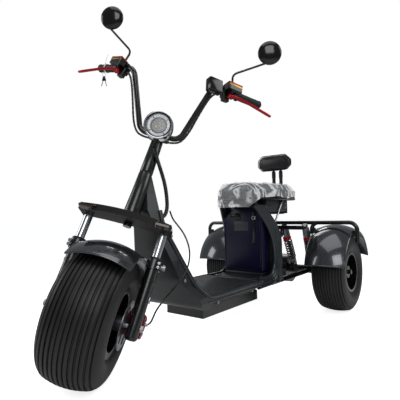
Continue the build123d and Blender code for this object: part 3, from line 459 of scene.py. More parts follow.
def on_frame(name, shapes, finish, stands_for=(), **more):
    """A piece of the standing trike, measured back from the front axle and up from the floor."""
    return new_piece(name, shapes, finish, "frame", body_place, stands_for, **more)


def bolt(radius, height):
    """A cap screw's head along x, with its socket sunk in the top."""
    well, bottom = radius * 0.5, height * 0.45
    return lathe([(0, 0), (radius, 0), (radius, height * 0.8), (radius * 0.85, height),
                  (well, height), (well, bottom), (0, bottom)], 18)


# %% [markdown]
# ## Tyres
# The tyres are fat road tyres with about eleven ribs that run round the whole face and over the
# shoulders. A rib is only seen if it is real depth, so the section is walked in small steps, sunk
# wherever a groove lies, and turned about the axle. The bead and the side walls follow the CAD.

# %% Ribbed tyres
RIB_PITCH = 15.5
GROOVE_WIDTH = 4.6
GROOVE_DEPTH = 5.0
RIBS_END = 98.0  # the last groove's place along the section
TREAD_STEPS, WALL_STEPS, SHOULDER_STEPS = 54, 90, 34
TREAD_SPREAD = math.radians(16.5)
BEAD_SHARE, BEAD_RADIUS = 0.4, 101.7
FRONT_TYRE, REAR_TYRE = (225, 208, 250, 118), (217, 178, 240, 109)


def arc_through(first, middle, last, count):
    """Points on the circle through three points, from the first to the last."""
    (ax, ay), (bx, by), (cx, cy) = first, middle, last
    double = 2 * (ax * (by - cy) + bx * (cy - ay) + cx * (ay - by))
    ux = ((ax * ax + ay * ay) * (by - cy) + (bx * bx + by * by) * (cy - ay)
          + (cx * cx + cy * cy) * (ay - by)) / double
    uy = ((ax * ax + ay * ay) * (cx - bx) + (bx * bx + by * by) * (ax - cx)
          + (cx * cx + cy * cy) * (bx - ax)) / double
    start = math.atan2(ay - uy, ax - ux)
    through = (math.atan2(by - uy, bx - ux) - start) % (2 * math.pi)
    sweep = (math.atan2(cy - uy, cx - ux) - start) % (2 * math.pi)
    if through > sweep:
        sweep -= 2 * math.pi
    reach = math.hypot(ax - ux, ay - uy)
    return [(ux + reach * math.cos(start + sweep * k / count),
             uy + reach * math.sin(start + sweep * k / count)) for k in range(count + 1)]


def tyre_section(radius, width, crown, flange):
    """Half section, the middle of the tread first: (radius, place along the axle) pairs."""
    tread = [(crown * math.sin(TREAD_SPREAD * k / TREAD_STEPS),
              radius - crown * (1 - math.cos(TREAD_SPREAD * k / TREAD_STEPS)))
             for k in range(TREAD_STEPS + 1)]
    bead = (width * BEAD_SHARE, flange + 0.3)
    waist = (width / 2, bead[1] + (radius - bead[1]) / 2)
    line = tread[:-1] + arc_through(tread[-1], waist, bead, WALL_STEPS)
    section, length = [], 0.0
    for step, (x, r) in enumerate(line):
        before, after = line[max(step - 1, 0)], line[min(step + 1, len(line) - 1)]
        length += math.hypot(x - before[0], r - before[1])
        across = math.hypot(after[0] - before[0], after[1] - before[1])
        out = ((after[1] - before[1]) / across, -(after[0] - before[0]) / across)
        near = abs((length / RIB_PITCH) % 1 - 0.5) * RIB_PITCH
        sunk = max(0.0, min(1.0, (GROOVE_WIDTH / 2 + 0.8 - near) / 1.2))
        fade = max(0.0, min(1.0, (RIBS_END - length) / 8)) * sunk * GROOVE_DEPTH
        section.append((r - abs(out[1]) * fade, x - abs(out[0]) * fade))
    return [pair for step, pair in enumerate(section)
            if step < TREAD_STEPS + SHOULDER_STEPS or step % 6 == 0 or step == len(section) - 1]


def ribbed_tyre(radius, width, crown, flange):
    """The whole tyre, closed inside by its beads."""
    half = tyre_section(radius, width, crown, flange)
    foot = width * BEAD_SHARE
    profile = [(BEAD_RADIUS, -foot)] + [(r, -x) for r, x in half[::-1]] + half[1:]
    return lathe(profile + [(BEAD_RADIUS, foot)], 120, ring=True)


new_piece("front_tyre_ribbed", [ribbed_tyre(*FRONT_TYRE)], tyre_rubber, "front_wheel",
          front_wheel, ["front_tyre"])
for side, name in SIDES:
    new_piece(f"rear_tyre_{name}_ribbed", [ribbed_tyre(*REAR_TYRE)], tyre_rubber,
              f"rear_wheel_{name}", rear_wheels[side], [f"rear_tyre_{name}"])
print("tyre section points:", len(tyre_section(*FRONT_TYRE)))

# %% [markdown]
# ## Fender edges and bolts
# The fenders are moulded shells with a rolled rim, and the rim is what catches the light. A thin
# tube along each edge of the CAD shell gives that roll. Button screws hold the shell to its frame.

# %% Rolled rims of the fenders


def over_wheel(along, radius, degrees):
    """A point on a circle about the axle, the angle from straight up toward the front."""
    angle = math.radians(degrees)
    return along, -radius * math.sin(angle), radius * math.cos(angle)


def sweep_ring(radius, along, start, end, count=48):
    """Points over the wheel from one angle to another."""
    return [over_wheel(along, radius, start + (end - start) * k / count)
            for k in range(count + 1)]


def fender_rim(half, crest, low_edge, high_edge, start, end, roll):
    """The tube round a fender's four edges; the edges' radii differ left and right."""
    shapes = [tube(sweep_ring(low_edge, half, start, end), roll, 10),
              tube(sweep_ring(high_edge, -half, start, end), roll, 10)]
    for angle in (start, end):
        section = arc_through((-half, high_edge), (0, crest), (half, low_edge), 20)
        shapes.append(tube([over_wheel(x, r, angle) for x, r in section], roll, 10))
    return shapes


REAR_FENDER_PLACE = (0.361, WHEELBASE, 0.217)
SCREW_PLACES = ((107, -30, 215), (107, -10, 220), (107, -56, 206), (-106, -30, 226),
                (-106, -56, 222))
new_piece("front_fender_rim", fender_rim(106, 251.5, 225.5, 225.5, -45, 50, 3.2), carbon_print,
          "steering", front_wheel)
for side, name in SIDES:
    where = (body_place @ Matrix.Diagonal((side, 1, 1, 1))
             @ Matrix.Translation(REAR_FENDER_PLACE))
    rims = fender_rim(103, 263.5, 230.5, 243.5, 77, -71, 3.4)
    new_piece(f"rear_fender_{name}_rim", rims, carbon_print, "frame", where)
    heads = [moved(bolt(5.5, 3.5), outward(*place)) for place in SCREW_PLACES]
    new_piece(f"rear_fender_{name}_screws", heads, zinc_steel, "frame", where)

# %% [markdown]
# ## Fork and crown
# The crown is a black cast bridge. Its stanchion tops are capped, pinch screws hold the tubes, and
# a rubber seal wipes each stanchion where it enters its leg. These small rings and heads tell the
# eye that the fork is made of separate turned parts.

# %% Caps, seals and screws of the fork
STANCHION_X, FORK_Y = 143, -22
fork_black, fork_bright, fork_rubber = [], [], []
upright = put(ry=-90)
for sign in (1, -1):
    x = sign * STANCHION_X
    cap = lathe([(0, 0), (15.5, 0), (15.5, 3), (13, 5), (7, 5), (6, 3.4), (0, 3.4)], 32)
    fork_bright.append(moved(cap, put(x, FORK_Y, 366) @ upright))
    seal = lathe([(16.2, 0), (24, 0), (25, 2), (25, 7), (22, 10), (16.2, 11)], 40)
    fork_rubber.append(moved(seal, put(x, FORK_Y, 231) @ upright))
    for y, z in ((-58, 344), (8, 344)):
        fork_bright.append(moved(bolt(5.5, 5), outward(sign * 169, y, z)))
    for z in (207, 221):
        fork_bright.append(moved(bolt(5, 5), put(x + sign * 20, -46, z, rz=-90)))
        fork_black.append(moved(block((16, 14, 11), 2.5), put(x + sign * 20, -42, z)))
    foot = lathe([(0, -44), (14, -43), (20, -39), (22, -33), (22, -20)], 40)
    fork_black.append(moved(foot, put(x, FORK_Y, 0) @ upright))
    ring = lathe([(22, 0), (24, 1.5), (24, 10), (22, 11.5)], 40)
    fork_black.append(moved(ring, put(x, FORK_Y, 150) @ upright))
knob = lathe([(0, 0), (7, 0), (7, 6), (10, 7), (10, 15), (8.5, 17), (0, 17)], 24)
fork_bright.append(moved(knob, put(STANCHION_X + 26, FORK_Y, 214)))
fork_bright.append(moved(block((6, 20, 20), 2.0), put(STANCHION_X + 23, FORK_Y, 96)))
for x, y in ((-70, -52), (70, -52), (0, -64), (-108, -46), (108, -46)):
    height = 356 + 14 * (1 - (x / 170) ** 2)
    fork_bright.append(moved(bolt(6, 4), put(x, y, height) @ upright))
on_steering("fork_caps_and_screws", fork_bright, zinc_steel)
on_steering("fork_seals", fork_rubber, grip_rubber)
on_steering("fork_feet", fork_black, powder_coat)

# %% [markdown]
# ## Steering column
# A black sleeve covers the head tube and widens toward the crown. The part above the head tube
# turns with the bars, and the part on the head tube stays with the body, so it is two turned
# pieces.

# %% Column sleeves
sleeve = lathe([(20, 0), (25, 0), (26.5, 3), (25.5, 60), (24, 150), (22, 156), (16, 157)], 48)
on_steering("upper_column_sleeve", [moved(sleeve, put(0, 0, 561) @ upright)], powder_coat)
sleeve = lathe([(22, 0), (31, 0), (32, 3), (31, 30), (28.5, 100), (27, 178), (25, 183), (22, 183)],
               48)
new_piece("lower_column_sleeve", [moved(sleeve, put(0, 0, 376.5) @ upright)], powder_coat,
          "frame", steering)

# %% [markdown]
# ## Headlamp
# The lamp is a chromed bowl with a rolled rim. Inside lie a black ring, a pale light guide with
# four dark gaps, a frosted grey middle and one yellowish chip, behind a slightly domed lens. Each
# is a turned profile on one axis.

# %% Headlamp
led_window, _, _ = new_material("led_window_polycarbonate", Roughness=0.12,
                                Base_Color=linear("#E9EDF2"))
led_chip, _, _ = new_material("phosphor_chip", Roughness=0.35, Base_Color=linear("#D9C77E"))
reflector, _, _ = new_material("frosted_reflector", Metallic=0.3, Roughness=0.5,
                               Base_Color=linear("#86817E"))
slot_of.update({led_window: "clear_glass", led_chip: "amber_lens", reflector: "chrome"})
lamp = put(10, -48, 738, rx=14) @ put(rz=-90)
bowl = lathe([(0, 0), (30, 0), (41, 3), (49, 11), (54, 24), (56, 42), (56, 58), (57.5, 59),
              (57.5, 70), (56, 74), (53, 75.5), (50.5, 74), (49.5, 68), (49.5, 60)], 72)
on_steering("headlamp_bowl", [moved(bowl, lamp)], chrome, ["headlamp"])
rings = [lathe([(49.4, 60), (49.4, 71), (46, 70), (45, 66), (45, 58), (31, 54), (30, 57),
                (27.5, 59), (27.5, 54)], 72)]
rings += [moved(block((6, 4, 11), 1.0, (64.4, 0, 39)), put(rx=45 + 90 * step)) for step in range(4)]
rings = [moved(shape, lamp) for shape in rings]
rings.append(moved(block((40, 30, 16), 3.0), put(0, -35, 738)))
on_steering("headlamp_black_rings", rings, gloss_abs)
led = lathe([(44.6, 62), (43.5, 65.4), (38, 66.4), (33.5, 64.6), (32.6, 61)], 72)
on_steering("headlamp_led_ring", [moved(led, lamp)], led_window)
dish = lathe([(27.5, 59), (26.5, 60.5), (0, 61)], 64)
on_steering("headlamp_reflector", [moved(dish, lamp)], reflector)
chip = moved(block((3, 9, 9), 0.8, (61, -9, -6)), lamp)
on_steering("headlamp_chip", [chip], led_chip)
lens = lathe([(47.5, 69), (40, 71.4), (25, 73.4), (0, 74.4)], 64)
on_steering("headlamp_lens", [moved(lens, lamp)], clear_lens, ["headlamp_glass"])

# %% [markdown]
# ## The bars and what is clamped to them
# Everything on a bar end lies along that end, so each side gets a frame of its own: x outward along
# the bar from its end, y back, z up. The right side's frame is mirrored, and one loop builds both.

# %% The frame of each bar end
BAR_END, RISER_TOP = (366, 24, 1026), (168, -108, 962)


def bar_axes(sign):
    """Outward, ahead and up at one end of the bar, in the steering's frame."""
    end = Vector((sign * BAR_END[0], *BAR_END[1:]))
    bend = Vector((sign * RISER_TOP[0], *RISER_TOP[1:]))
    along = (end - bend).normalized()
    ahead = along.cross(Vector((0, 0, 1))).normalized() * sign
    return end, bend, along, ahead, ahead.cross(along) * sign


bar_place = {}
for sign in (1, -1):
    end, bend, along, ahead, rise = bar_axes(sign)
    bar_place[sign] = steering @ placed(along, -ahead, rise, end * MM)


def on_bar(sign, name, shapes, finish, stands_for=()):
    """A piece that is written in the frame of one bar end."""
    return new_piece(name, shapes, finish, "steering", bar_place[sign], stands_for)


def once(sign, node):
    """The CAD node of a left and right pair, named by the left piece alone."""
    return [node] if sign > 0 else []


def bent(points, bend, steps=10):
    """Straight runs joined by arcs that reach this far from each corner."""
    points = [Vector(point) for point in points]
    line = [points[0]]
    for before, corner, after in zip(points, points[1:], points[2:]):
        reach = min(bend, (corner - before).length * 0.49, (after - corner).length * 0.49)
        start = corner + (before - corner).normalized() * reach
        end = corner + (after - corner).normalized() * reach
        for step in range(steps + 1):
            share = step / steps
            line.append(start.lerp(corner, share).lerp(corner.lerp(end, share), share))
    return line + [points[-1]]


def blade(path, widths, thick, sides=16):
    """A flat bar along a path: its width at each place, level, and its thickness, upright."""
    up = Vector((0, 0, 1))
    path = [Vector(point) for point in path]
    points = []
    for step, point in enumerate(path):
        ahead = (path[min(step + 1, len(path) - 1)] - path[max(step - 1, 0)]).normalized()
        side = up.cross(ahead).normalized()
        for corner in range(sides):
            angle = 2 * math.pi * corner / sides
            points.append(point + side * math.cos(angle) * widths[step] / 2
                          + up * math.sin(angle) * thick / 2)
    return points, skin(len(path), sides)


# %% [markdown]
# ## Grips, levers and reservoirs
# The grips are soft rubber with fine rings and a flange. The levers are bent alloy blades with a
# thicker heel and a rounded tip. The brake reservoirs have red screwed lids with a brass band
# below.

# %% Grips
grip_profile = [(12, -128), (21, -128), (21.5, -126), (21.5, -123), (20, -121), (16, -120)]
for step in range(17):
    start = -118 + step * 6.4
    grip_profile += [(15.4, start), (16.8, start + 1.2), (16.8, start + 4.4), (15.4, start + 5.6)]
grip_profile += [(15.6, -8), (18, -6), (18, -2), (16, 0), (12, 0.4)]
for sign, side in SIDES:
    on_bar(sign, f"grip_{side}", [lathe(grip_profile, 40)], grip_rubber, once(sign, "grips"))
    cap = lathe([(11.5, -2), (13.5, 0.3), (13.5, 3), (12, 5), (0, 5.6)], 32)
    on_bar(sign, f"bar_end_{side}", [cap], gloss_abs)

# %% Levers, reservoirs and switch pods
lever_line = ((231, -67), (234, -80), (243, -90), (262, -93), (290, -86), (330, -71), (372, -53),
              (404, -39), (420, -32))
lever_widths = (9, 12, 17, 13, 11, 10.5, 11, 12, 9)
TANK_X, TANK_Y = -169, -32.5  # the reservoir's middle, along the bar and ahead of it
for sign, side in SIDES:
    points = [(sign * x, y, 949 - (x - 238) * 0.049) for x, y in lever_line]
    lever = [blade(points, lever_widths, 12)]
    lever.append(moved(lathe([(0, -6), (3.5, -5), (5.2, -2), (5.2, 2), (3.5, 5), (0, 6)], 20),
                       put(*points[-1])))
    lever.append(moved(lathe([(0, -8.5), (9, -8.5), (9.5, -7.5), (9.5, 7.5), (9, 8.5), (0, 8.5)],
                             28), put(sign * 241, -88, 949) @ upright))
    on_steering(f"brake_lever_{side}", lever, red_anodised, once(sign, "brake_levers"))
    lid = [block((71, 39, 5.4), 2.2, (TANK_X, TANK_Y, 16.8)),
           block((56, 26, 2.2), 1.0, (TANK_X, TANK_Y, 20.2))]
    gold = [block((66, 3, 9), 1.2, (TANK_X, -50.6, 8)),
            block((3, 32, 9), 1.2, (-134.8, TANK_Y, 8))]
    screws = [moved(bolt(3.2, 1.6), put(x, TANK_Y, 19.4) @ upright) for x in (-198, -140)]
    screws += [moved(bolt(4, 4), put(-141, 17, z * 0.8, rz=90)) for z in (-13, 13)]
    perch = [block((26, 12, 9), 2.0, (-149, -22, z)) for z in (-13, 13)]
    perch.append(block((30, 13, 26), 3.0, (-149, 15, 0)))
    pods = [block((36, 27, 12), 3.0, (-187, 0, 12)), block((32, 8, 30), 3.0, (-187, 13, -14))]
    for x, z, size in ((-194, -4, 9), (-181, -4, 9), (-187, -20, 12)):
        pods.append(block((size, 4, size * 0.8), 1.2, (x, 18, z)))
    on_bar(sign, f"reservoir_lid_{side}", lid, red_anodised, once(sign, "reservoir_lids"))
    on_bar(sign, f"reservoir_band_{side}", gold, brass_band)
    on_bar(sign, f"reservoir_screws_{side}", screws, zinc_steel)
    on_bar(sign, f"perch_clamp_{side}", perch, powder_coat)
    on_bar(sign, f"pod_buttons_{side}", pods, grained_abs)

# %% [markdown]
# ## Keys
# The spare keys hang from the right grip on a white cable tie: a thin band round the grip, a steel
# ring, and two keys with black heads that spread apart.

# %% Cable tie, ring and keys


def loop(radius, thick, count=40):
    """A closed ring about the x axis."""
    return tube([(0, *around(radius, step, count)) for step in range(count + 1)], thick, 8,
                ends=False)


tie_place = bar_place[-1] @ Matrix.Translation((-0.052, 0, 0))
tie = [moved(loop(18.2, 1.6), put(-1.2)), moved(loop(18.2, 1.6), put(1.2)),
       block((4.5, 6, 5), 1.0, (0, -19, 8)),
       tube([(0, -19, 8), (0, -30, 34), (0, -32, 52)], 1.0, 8)]
new_piece("cable_tie", tie, white_nylon, "steering", tie_place)
tie_world = tie_place @ Vector((0, -0.0195, -0.004))
hang = placed(camera_right, -look, Vector((0, 0, 1)), tie_world)
cord_line = tube([(0, 0, 0), (0.5, 0, -18), (0, 0, -30)], 0.8, 8)
new_piece("tie_tail", [cord_line], white_nylon, "steering", hang)
steel, heads = [moved(loop(7.5, 0.8), put(0, 0, -38, rz=90))], []
for lean in (-14, 14):
    turned = put(0, 0, -45, ry=lean)
    heads.append(moved(block((9, 4, 21), 2.6, (0, 0, -12)), turned))
    steel.append(moved(block((4, 1.6, 26), 0.6, (0, 0, -34)), turned))
new_piece("key_blades_and_ring", steel, zinc_steel, "steering", hang)
new_piece("key_heads", heads, gloss_abs, "steering", hang)

# %% [markdown]
# ## Mirrors
# Each mirror is a round pressed shell with a domed back, a rolled rim and silvered glass toward the
# rider, on a thin bent rod that screws into the brake perch. The photograph looks at their backs.

# %% Mirrors
RAKE = math.radians(26.5)  # turns these directions so that the mirrors stand plumb
steer_face = Vector((0, math.cos(RAKE), math.sin(RAKE)))
steer_below = Vector((0, math.sin(RAKE), -math.cos(RAKE)))
shell = lathe([(47, 1.4), (47.4, -0.4), (49.4, -0.6), (50.6, 1.4), (50.2, 5), (47.5, 9),
               (45.8, 10), (40, 14.5), (28, 18.4), (12, 20.4), (0, 20.8)], 64)
glass = lathe([(0, 1.2), (47, 1.2)], 64)
for sign, side in SIDES:
    end, bend, along, ahead, rise = bar_axes(sign)
    centre = Vector((sign * 356, -96, 1212))
    disc = placed(-steer_face, Vector((1, 0, 0)), steer_face.cross(Vector((1, 0, 0))) * -1, centre)
    foot = end - along * 149 + rise * 18
    stalk = bent([foot, foot + rise * 76, centre + steer_below * 44 - steer_face * 8], 22)
    shapes = [moved(shell, disc), tube(stalk, 4.6, 14)]
    nut = lathe([(0, 0), (8.5, 0), (8.5, 9), (6, 12), (6, 20), (4.6, 22)], 6)
    turned = placed(rise, along, rise.cross(along), foot - rise * 2)
    shapes.append(moved(nut, turned))
    on_steering(f"mirror_{side}", shapes, gloss_abs, once(sign, "mirrors"))
    on_steering(f"mirror_glass_{side}", [moved(glass, disc)], mirror_glass)

# %% [markdown]
# ## Clamp, display and signals
# Four screws close the bar clamp. The display is a plain black box with a dark screen toward the
# rider and is left bare. The signals are smoked amber lenses with a dark foot.

# %% Clamp screws, screen and signal feet
heads = [moved(bolt(5, 5), put(x, y, 761.4) @ upright) for x in (-30, 30) for y in (-14, 14)]
on_steering("bar_clamp_screws", heads, zinc_steel)
end, bend, along, ahead, rise = bar_axes(1)
display_place = steering @ placed(along, -ahead, rise,
                                  (bend - along * 16 + ahead * 30 - rise * 46) * MM)
screen_box = [block((63, 34.6, 56), 5.0, (0, 0, 28)), block((50, 2, 40), 1.0, (0, 17.4, 30))]
new_piece("display_case", screen_box, gloss_abs, "steering", display_place, ["display"])
feet = []
for sign in (1, -1):
    feet.append(block((30, 10, 13), 3.0, (sign * 128, -80, 341)))
    feet.append(moved(lathe([(0, 0), (9, 0), (9, 6), (7, 9), (0, 9)], 24),
                      put(sign * 118, -80, 350) @ upright))
on_steering("signal_feet", feet, gloss_abs)

# %% [markdown]
# ## Brake caliper
# The caliper is a red anodised casting over the disc behind the left leg, held by two socket
# screws, and fed by a banjo fitting where the hose ends.

# %% Caliper screws and fitting
bright = [moved(bolt(6, 5), put(163, 74, z)) for z in (-12, 38)]
red = [block((14, 40, 30), 5.0, (160, 76, 13)), block((30, 14, 70), 5.0, (129, 96, 12))]
new_piece("caliper_bosses", red, red_anodised, "steering", front_wheel)
new_piece("caliper_screws", bright, zinc_steel, "steering", front_wheel)

# %% [markdown]
# ## Shield, deck and the arch under the seat
# The body is moulded in black ABS. A glossy rounded rail runs down the edge of the shield, along
# the deck and up the arch that carries the seat, with finer ridges beside it; rail and ridges get a
# lighter grey than the body as a painted highlight. The deck's mat has raised ribs along its length
# inside a frame. Rails are tubes that lie half sunk in the CAD shells.

# %% Rails and ridges
# Painted highlight: the rails are a lighter grey than the black body, standing for their bright
# glossy shine.
rail_highlight_abs = grained("black_rail_painted_highlight", "#22282B", 1.2, 0.02, Roughness=0.2)
slot_of[rail_highlight_abs] = "black_plastic"
RIDGES, RIDGE_PITCH = 5, 17
for sign, side in SIDES:
    edge = [(43, 301, 574), (61, 301, 508), (101, 357, 378), (129, 403, 278), (172, 430, 229),
            (172, 490, 224), (172, 866, 224), (158, 890, 225)]
    rail = bent([(sign * x, y, z) for x, y, z in edge], 46)
    shapes = [tube(rail, 9.5, 14)]
    for step in range(RIDGES):
        drop = RIDGE_PITCH * step
        start = [(sign * 152, 870, 227 - drop)] if step < 3 else []
        ridge = start + [(sign * 149, 1056 + drop, 227 - min(drop, 34)),
                         (sign * 149, 1056 + drop, 436 + drop * 0.3),
                         (sign * 104, 936 + drop * 1.25, 598)]
        shapes.append(tube(bent(ridge, 104 if step < 3 else 70, 14), 10.5, 12))
    shapes.append(tube([(sign * 172, 436, 206), (sign * 172, 866, 206)], 3.5, 10))
    on_frame(f"body_rail_{side}", shapes, rail_highlight_abs)

# %% Back of the arch
stand = put(rx=90)
wall = [(-146, 200), (146, 200), (146, 440), (100, 598), (-100, 598), (-146, 440)]
arch = [moved(plate(wall, -1086, -1066, 4), stand),
        block((230, 84, 20), 3, (0, 1018, 236)), block((292, 190, 12), 4, (0, 1000, 222)),
        block((200, 150, 14), 4, (0, 1062, 592))]
on_frame("seat_arch", arch, satin_abs, ["seat_base"])

# %% Deck mat
MAT_PITCH = 15.5
ribs = [tube([(row * MAT_PITCH, 490, 228), (row * MAT_PITCH, 852, 228)], 3.0, 8)
        for row in range(-9, 10)]
frame_line = [(-156, 482, 228.2), (156, 482, 228.2), (156, 860, 228.2), (-156, 860, 228.2)]
ribs += [tube(pair, 3.0, 8) for pair in zip(frame_line, frame_line[1:] + frame_line[:1])]
on_frame("deck_mat_ribs", ribs, deck_rubber)
heads = [moved(bolt(6, 2.6), put(x, y, 228.4) @ upright)
         for x, y in ((-120, 900), (120, 900), (-120, 960), (120, 960), (0, 452))]
for sign in (1, -1):
    for y, z in ((352, 300), (520, 190), (800, 190)):
        width = 122 if z == 300 else 158
        heads.append(moved(bolt(6, 3), outward(sign * width, y, z)))
on_frame("body_screws", heads, zinc_steel)

# %% [markdown]
# ## Battery
# The battery is a navy moulded case with cut top corners. Its front has a recessed handle, a lock,
# a rubber strap and a bare plate. Flat outlines with soft rims make each of them.

# %% Battery case and its front
case_line = [(-118, 262), (-114, 251), (-103, 246.3), (103, 246.3), (114, 251), (118, 262),
             (118, 528), (70, 584), (-70, 584), (-118, 528)]
inset = [(-104, 268), (-98, 261), (98, 261), (104, 268), (104, 521), (64, 571), (-64, 571),
         (-104, 521)]
case = [moved(plate(case_line, -1061.6, -978, 5), stand),
        moved(plate(inset, -979, -974.6, 1.6), stand)]
case += [block((5, 5, 244), 2.0, (x, 976.5, 396)) for x in (-108, 108)]
on_frame("battery_case", case, battery_abs, ["battery_pack"])
recess = [block((54, 4, 30), 1.5, (-38, 974.5, 541)),
          *[block((60, 3, 5), 1.2, (-38, 973, z)) for z in (558, 524)],
          *[block((5, 3, 34), 1.2, (x, 973, 541)) for x in (-67, -9)],
          block((46, 9, 11), 4.0, (-38, 971, 546)),
          block((14, 4, 160), 1.6, (76, 972, 484)), block((20, 6, 12), 2.0, (76, 971, 404))]
on_frame("battery_handle_and_strap", recess, gloss_abs)
lock = moved(lathe([(0, 0), (12, 0), (12, 5), (10, 7), (6.5, 7), (6.5, 4), (0, 4)], 32),
             put(76, 974, 532, rz=-90))
on_frame("battery_lock", [lock, moved(bolt(5, 3), put(118, 994, 520))], stanchion_steel)
on_frame("battery_plate", [block((88, 1.6, 48), 0.7, (-2, 973.8, 488))], grey_abs)

# %% [markdown]
# ## Seat cushion and backrest
# A foam seat swells between its seams. The CAD solid is remeshed finely, blown up a little as cloth
# with pressure and no gravity, and held back where it would swell too far or through its tray.

# %% Padded pieces
SWELL_FRAMES = 20
TRAY_TOP = 640.0


def padded_piece(name, node, pressure, cap, shrink, floor=0.0):
    """A cushion from a CAD node's own solid: remeshed, swollen as cloth, then smoothed."""
    mesh = nodes[node].data.copy()
    mesh.transform(nodes[node].matrix_world)
    low, high = (Vector(corner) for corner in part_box(node))
    middle = (low + high) / 2
    for vertex in mesh.vertices:
        away = vertex.co - middle
        vertex.co = middle + Vector([part * (1 - shrink * MM / max(abs(half), MM))
                                     for part, half in zip(away, (high - low) / 2)])
    piece = bpy.data.objects.new(name, mesh)
    bpy.context.scene.collection.objects.link(piece)
    coarse = piece.modifiers.new("even_mesh", "REMESH")
    coarse.mode = "VOXEL"
    coarse.voxel_size = 6 * MM
    freeze(piece)
    before = [vertex.co.copy() for vertex in piece.data.vertices]
    cloth = piece.modifiers.new("swelling", "CLOTH")
    cloth.settings.use_pressure = True
    cloth.settings.uniform_pressure_force = pressure
    cloth.settings.effector_weights.gravity = 0.0
    cloth.point_cache.frame_start, cloth.point_cache.frame_end = 1, SWELL_FRAMES
    for step in range(1, SWELL_FRAMES + 1):
        bpy.context.scene.frame_set(step)
    freeze(piece)
    bpy.context.scene.frame_set(1)
    for vertex, start in zip(piece.data.vertices, before):
        moved_by = vertex.co - start
        if moved_by.length > cap * MM:
            vertex.co = start + moved_by.normalized() * cap * MM
    for vertex in piece.data.vertices:
        vertex.co.z = max(vertex.co.z, floor * MM)
    smooth = piece.modifiers.new("soft", "SMOOTH")
    smooth.iterations = 6
    finer = piece.modifiers.new("finer", "SUBSURF")
    finer.levels = finer.render_levels = 1
    freeze(piece)
    piece.data.shade_smooth()
    piece.data.materials.clear()
    piece.data.materials.append(seat_vinyl)
    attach(piece, "frame")
    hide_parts(node)
    return piece


def freeze(piece):
    """Puts what the modifiers make in the mesh itself, and removes them."""
    bpy.context.view_layer.update()
    made = bpy.data.meshes.new_from_object(
        piece.evaluated_get(bpy.context.evaluated_depsgraph_get()))
    piece.modifiers.clear()
    piece.data = made


seat = padded_piece("seat_cushion_padded", "seat_cushion", 4.0, 9.0, 5.0, TRAY_TOP)
back = padded_piece("backrest_padded", "backrest_pad", 3.0, 6.0, 3.0)
print("seat faces:", len(seat.data.polygons), "backrest faces:", len(back.data.polygons))

# %% Piping and the backrest's raised panel


def round_outline(corners, reach, steps=8):
    """A closed flat outline with rounded corners."""
    line = bent([corners[-1], *corners, corners[0]], reach, steps)
    middle = (Vector(corners[-1]) + Vector(corners[0])) / 2
    return [middle] + line[1:-1] + [middle]


def raised(outline, height):
    """A flat outline at this height."""
    return [point + Vector((0, 0, height)) for point in outline]


seat_corners = [(84, 872), (138, 1130), (138, 1378), (-138, 1378), (-138, 1130), (-84, 872)]
ring = round_outline([(x, y, 0) for x, y in seat_corners], 44)
shapes = [tube(raised(ring, TRAY_TOP + 4), 4.2, 10, ends=False)]
PAD_MIDDLE = 865
half_pad = [(80, -49), (110, -19), (110, 19), (80, 49)]
pad_corners = half_pad + [(-x, z) for x, z in half_pad[::-1]]
hexagon = round_outline([(x * 0.97, 1367, PAD_MIDDLE + z * 0.96) for x, z in pad_corners], 6)
shapes.append(tube(hexagon, 2.6, 8, ends=False))
inner = [(x * 0.66, PAD_MIDDLE + z * 0.52) for x, z in pad_corners]
shapes.append(moved(plate(inner, -1372, -1360.2, 4, 4), stand))
on_frame("seat_piping_and_panel", shapes, seat_vinyl)

# %% [markdown]
# ## Seat tray, its grey box and the stays
# Under the cushion lies a black tray with a rolled lip. A grey sheet box with two bolts hangs below
# it, black foam fills the front, and two bright round stays run down to the frame.

# %% Tray, box and stays
SEAT_MIDDLE, TRAY_INSET = 1125, 0.985
floor_line = [(point.x * TRAY_INSET, SEAT_MIDDLE + (point.y - SEAT_MIDDLE) * TRAY_INSET)
              for point in ring[:-1]]
tray = [plate(floor_line, TRAY_TOP - 12, TRAY_TOP, 3),
        tube(raised(ring, TRAY_TOP - 6), 6.5, 12, ends=False),
        block((150, 160, 42), 14, (0, 964, 614)), block((90, 40, 12), 3, (0, 1402, 634))]
on_frame("seat_tray_moulded", tray, gloss_abs, ["seat_tray"])
box = [block((192, 250, 66), 4, (0, 1206, 597)), block((196, 8, 78), 3, (0, 1334, 591))]
on_frame("seat_box", box, grey_abs)
heads = [moved(bolt(6, 3), outward(x, 1310, z)) for z in (588, 612) for x in (96, -96)]
stays = heads + [tube([(sign * 103, 1112, 440), (sign * 103, 1262, 628)], 5.5, 12)
                 for sign in (1, -1)]
on_frame("seat_stay_bars", stays, stanchion_steel, ["seat_stays"])
boot = lathe([(0, 0), (13, 0), (13, 30), (10.5, 60), (10.5, 128), (12, 140), (12, 172), (9, 176),
              (0, 176)], 28)
boots = [moved(boot, put(x, 1414, TRAY_TOP) @ upright) for x in (-24, 24)]
on_frame("backrest_post_boots", boots, grip_rubber)
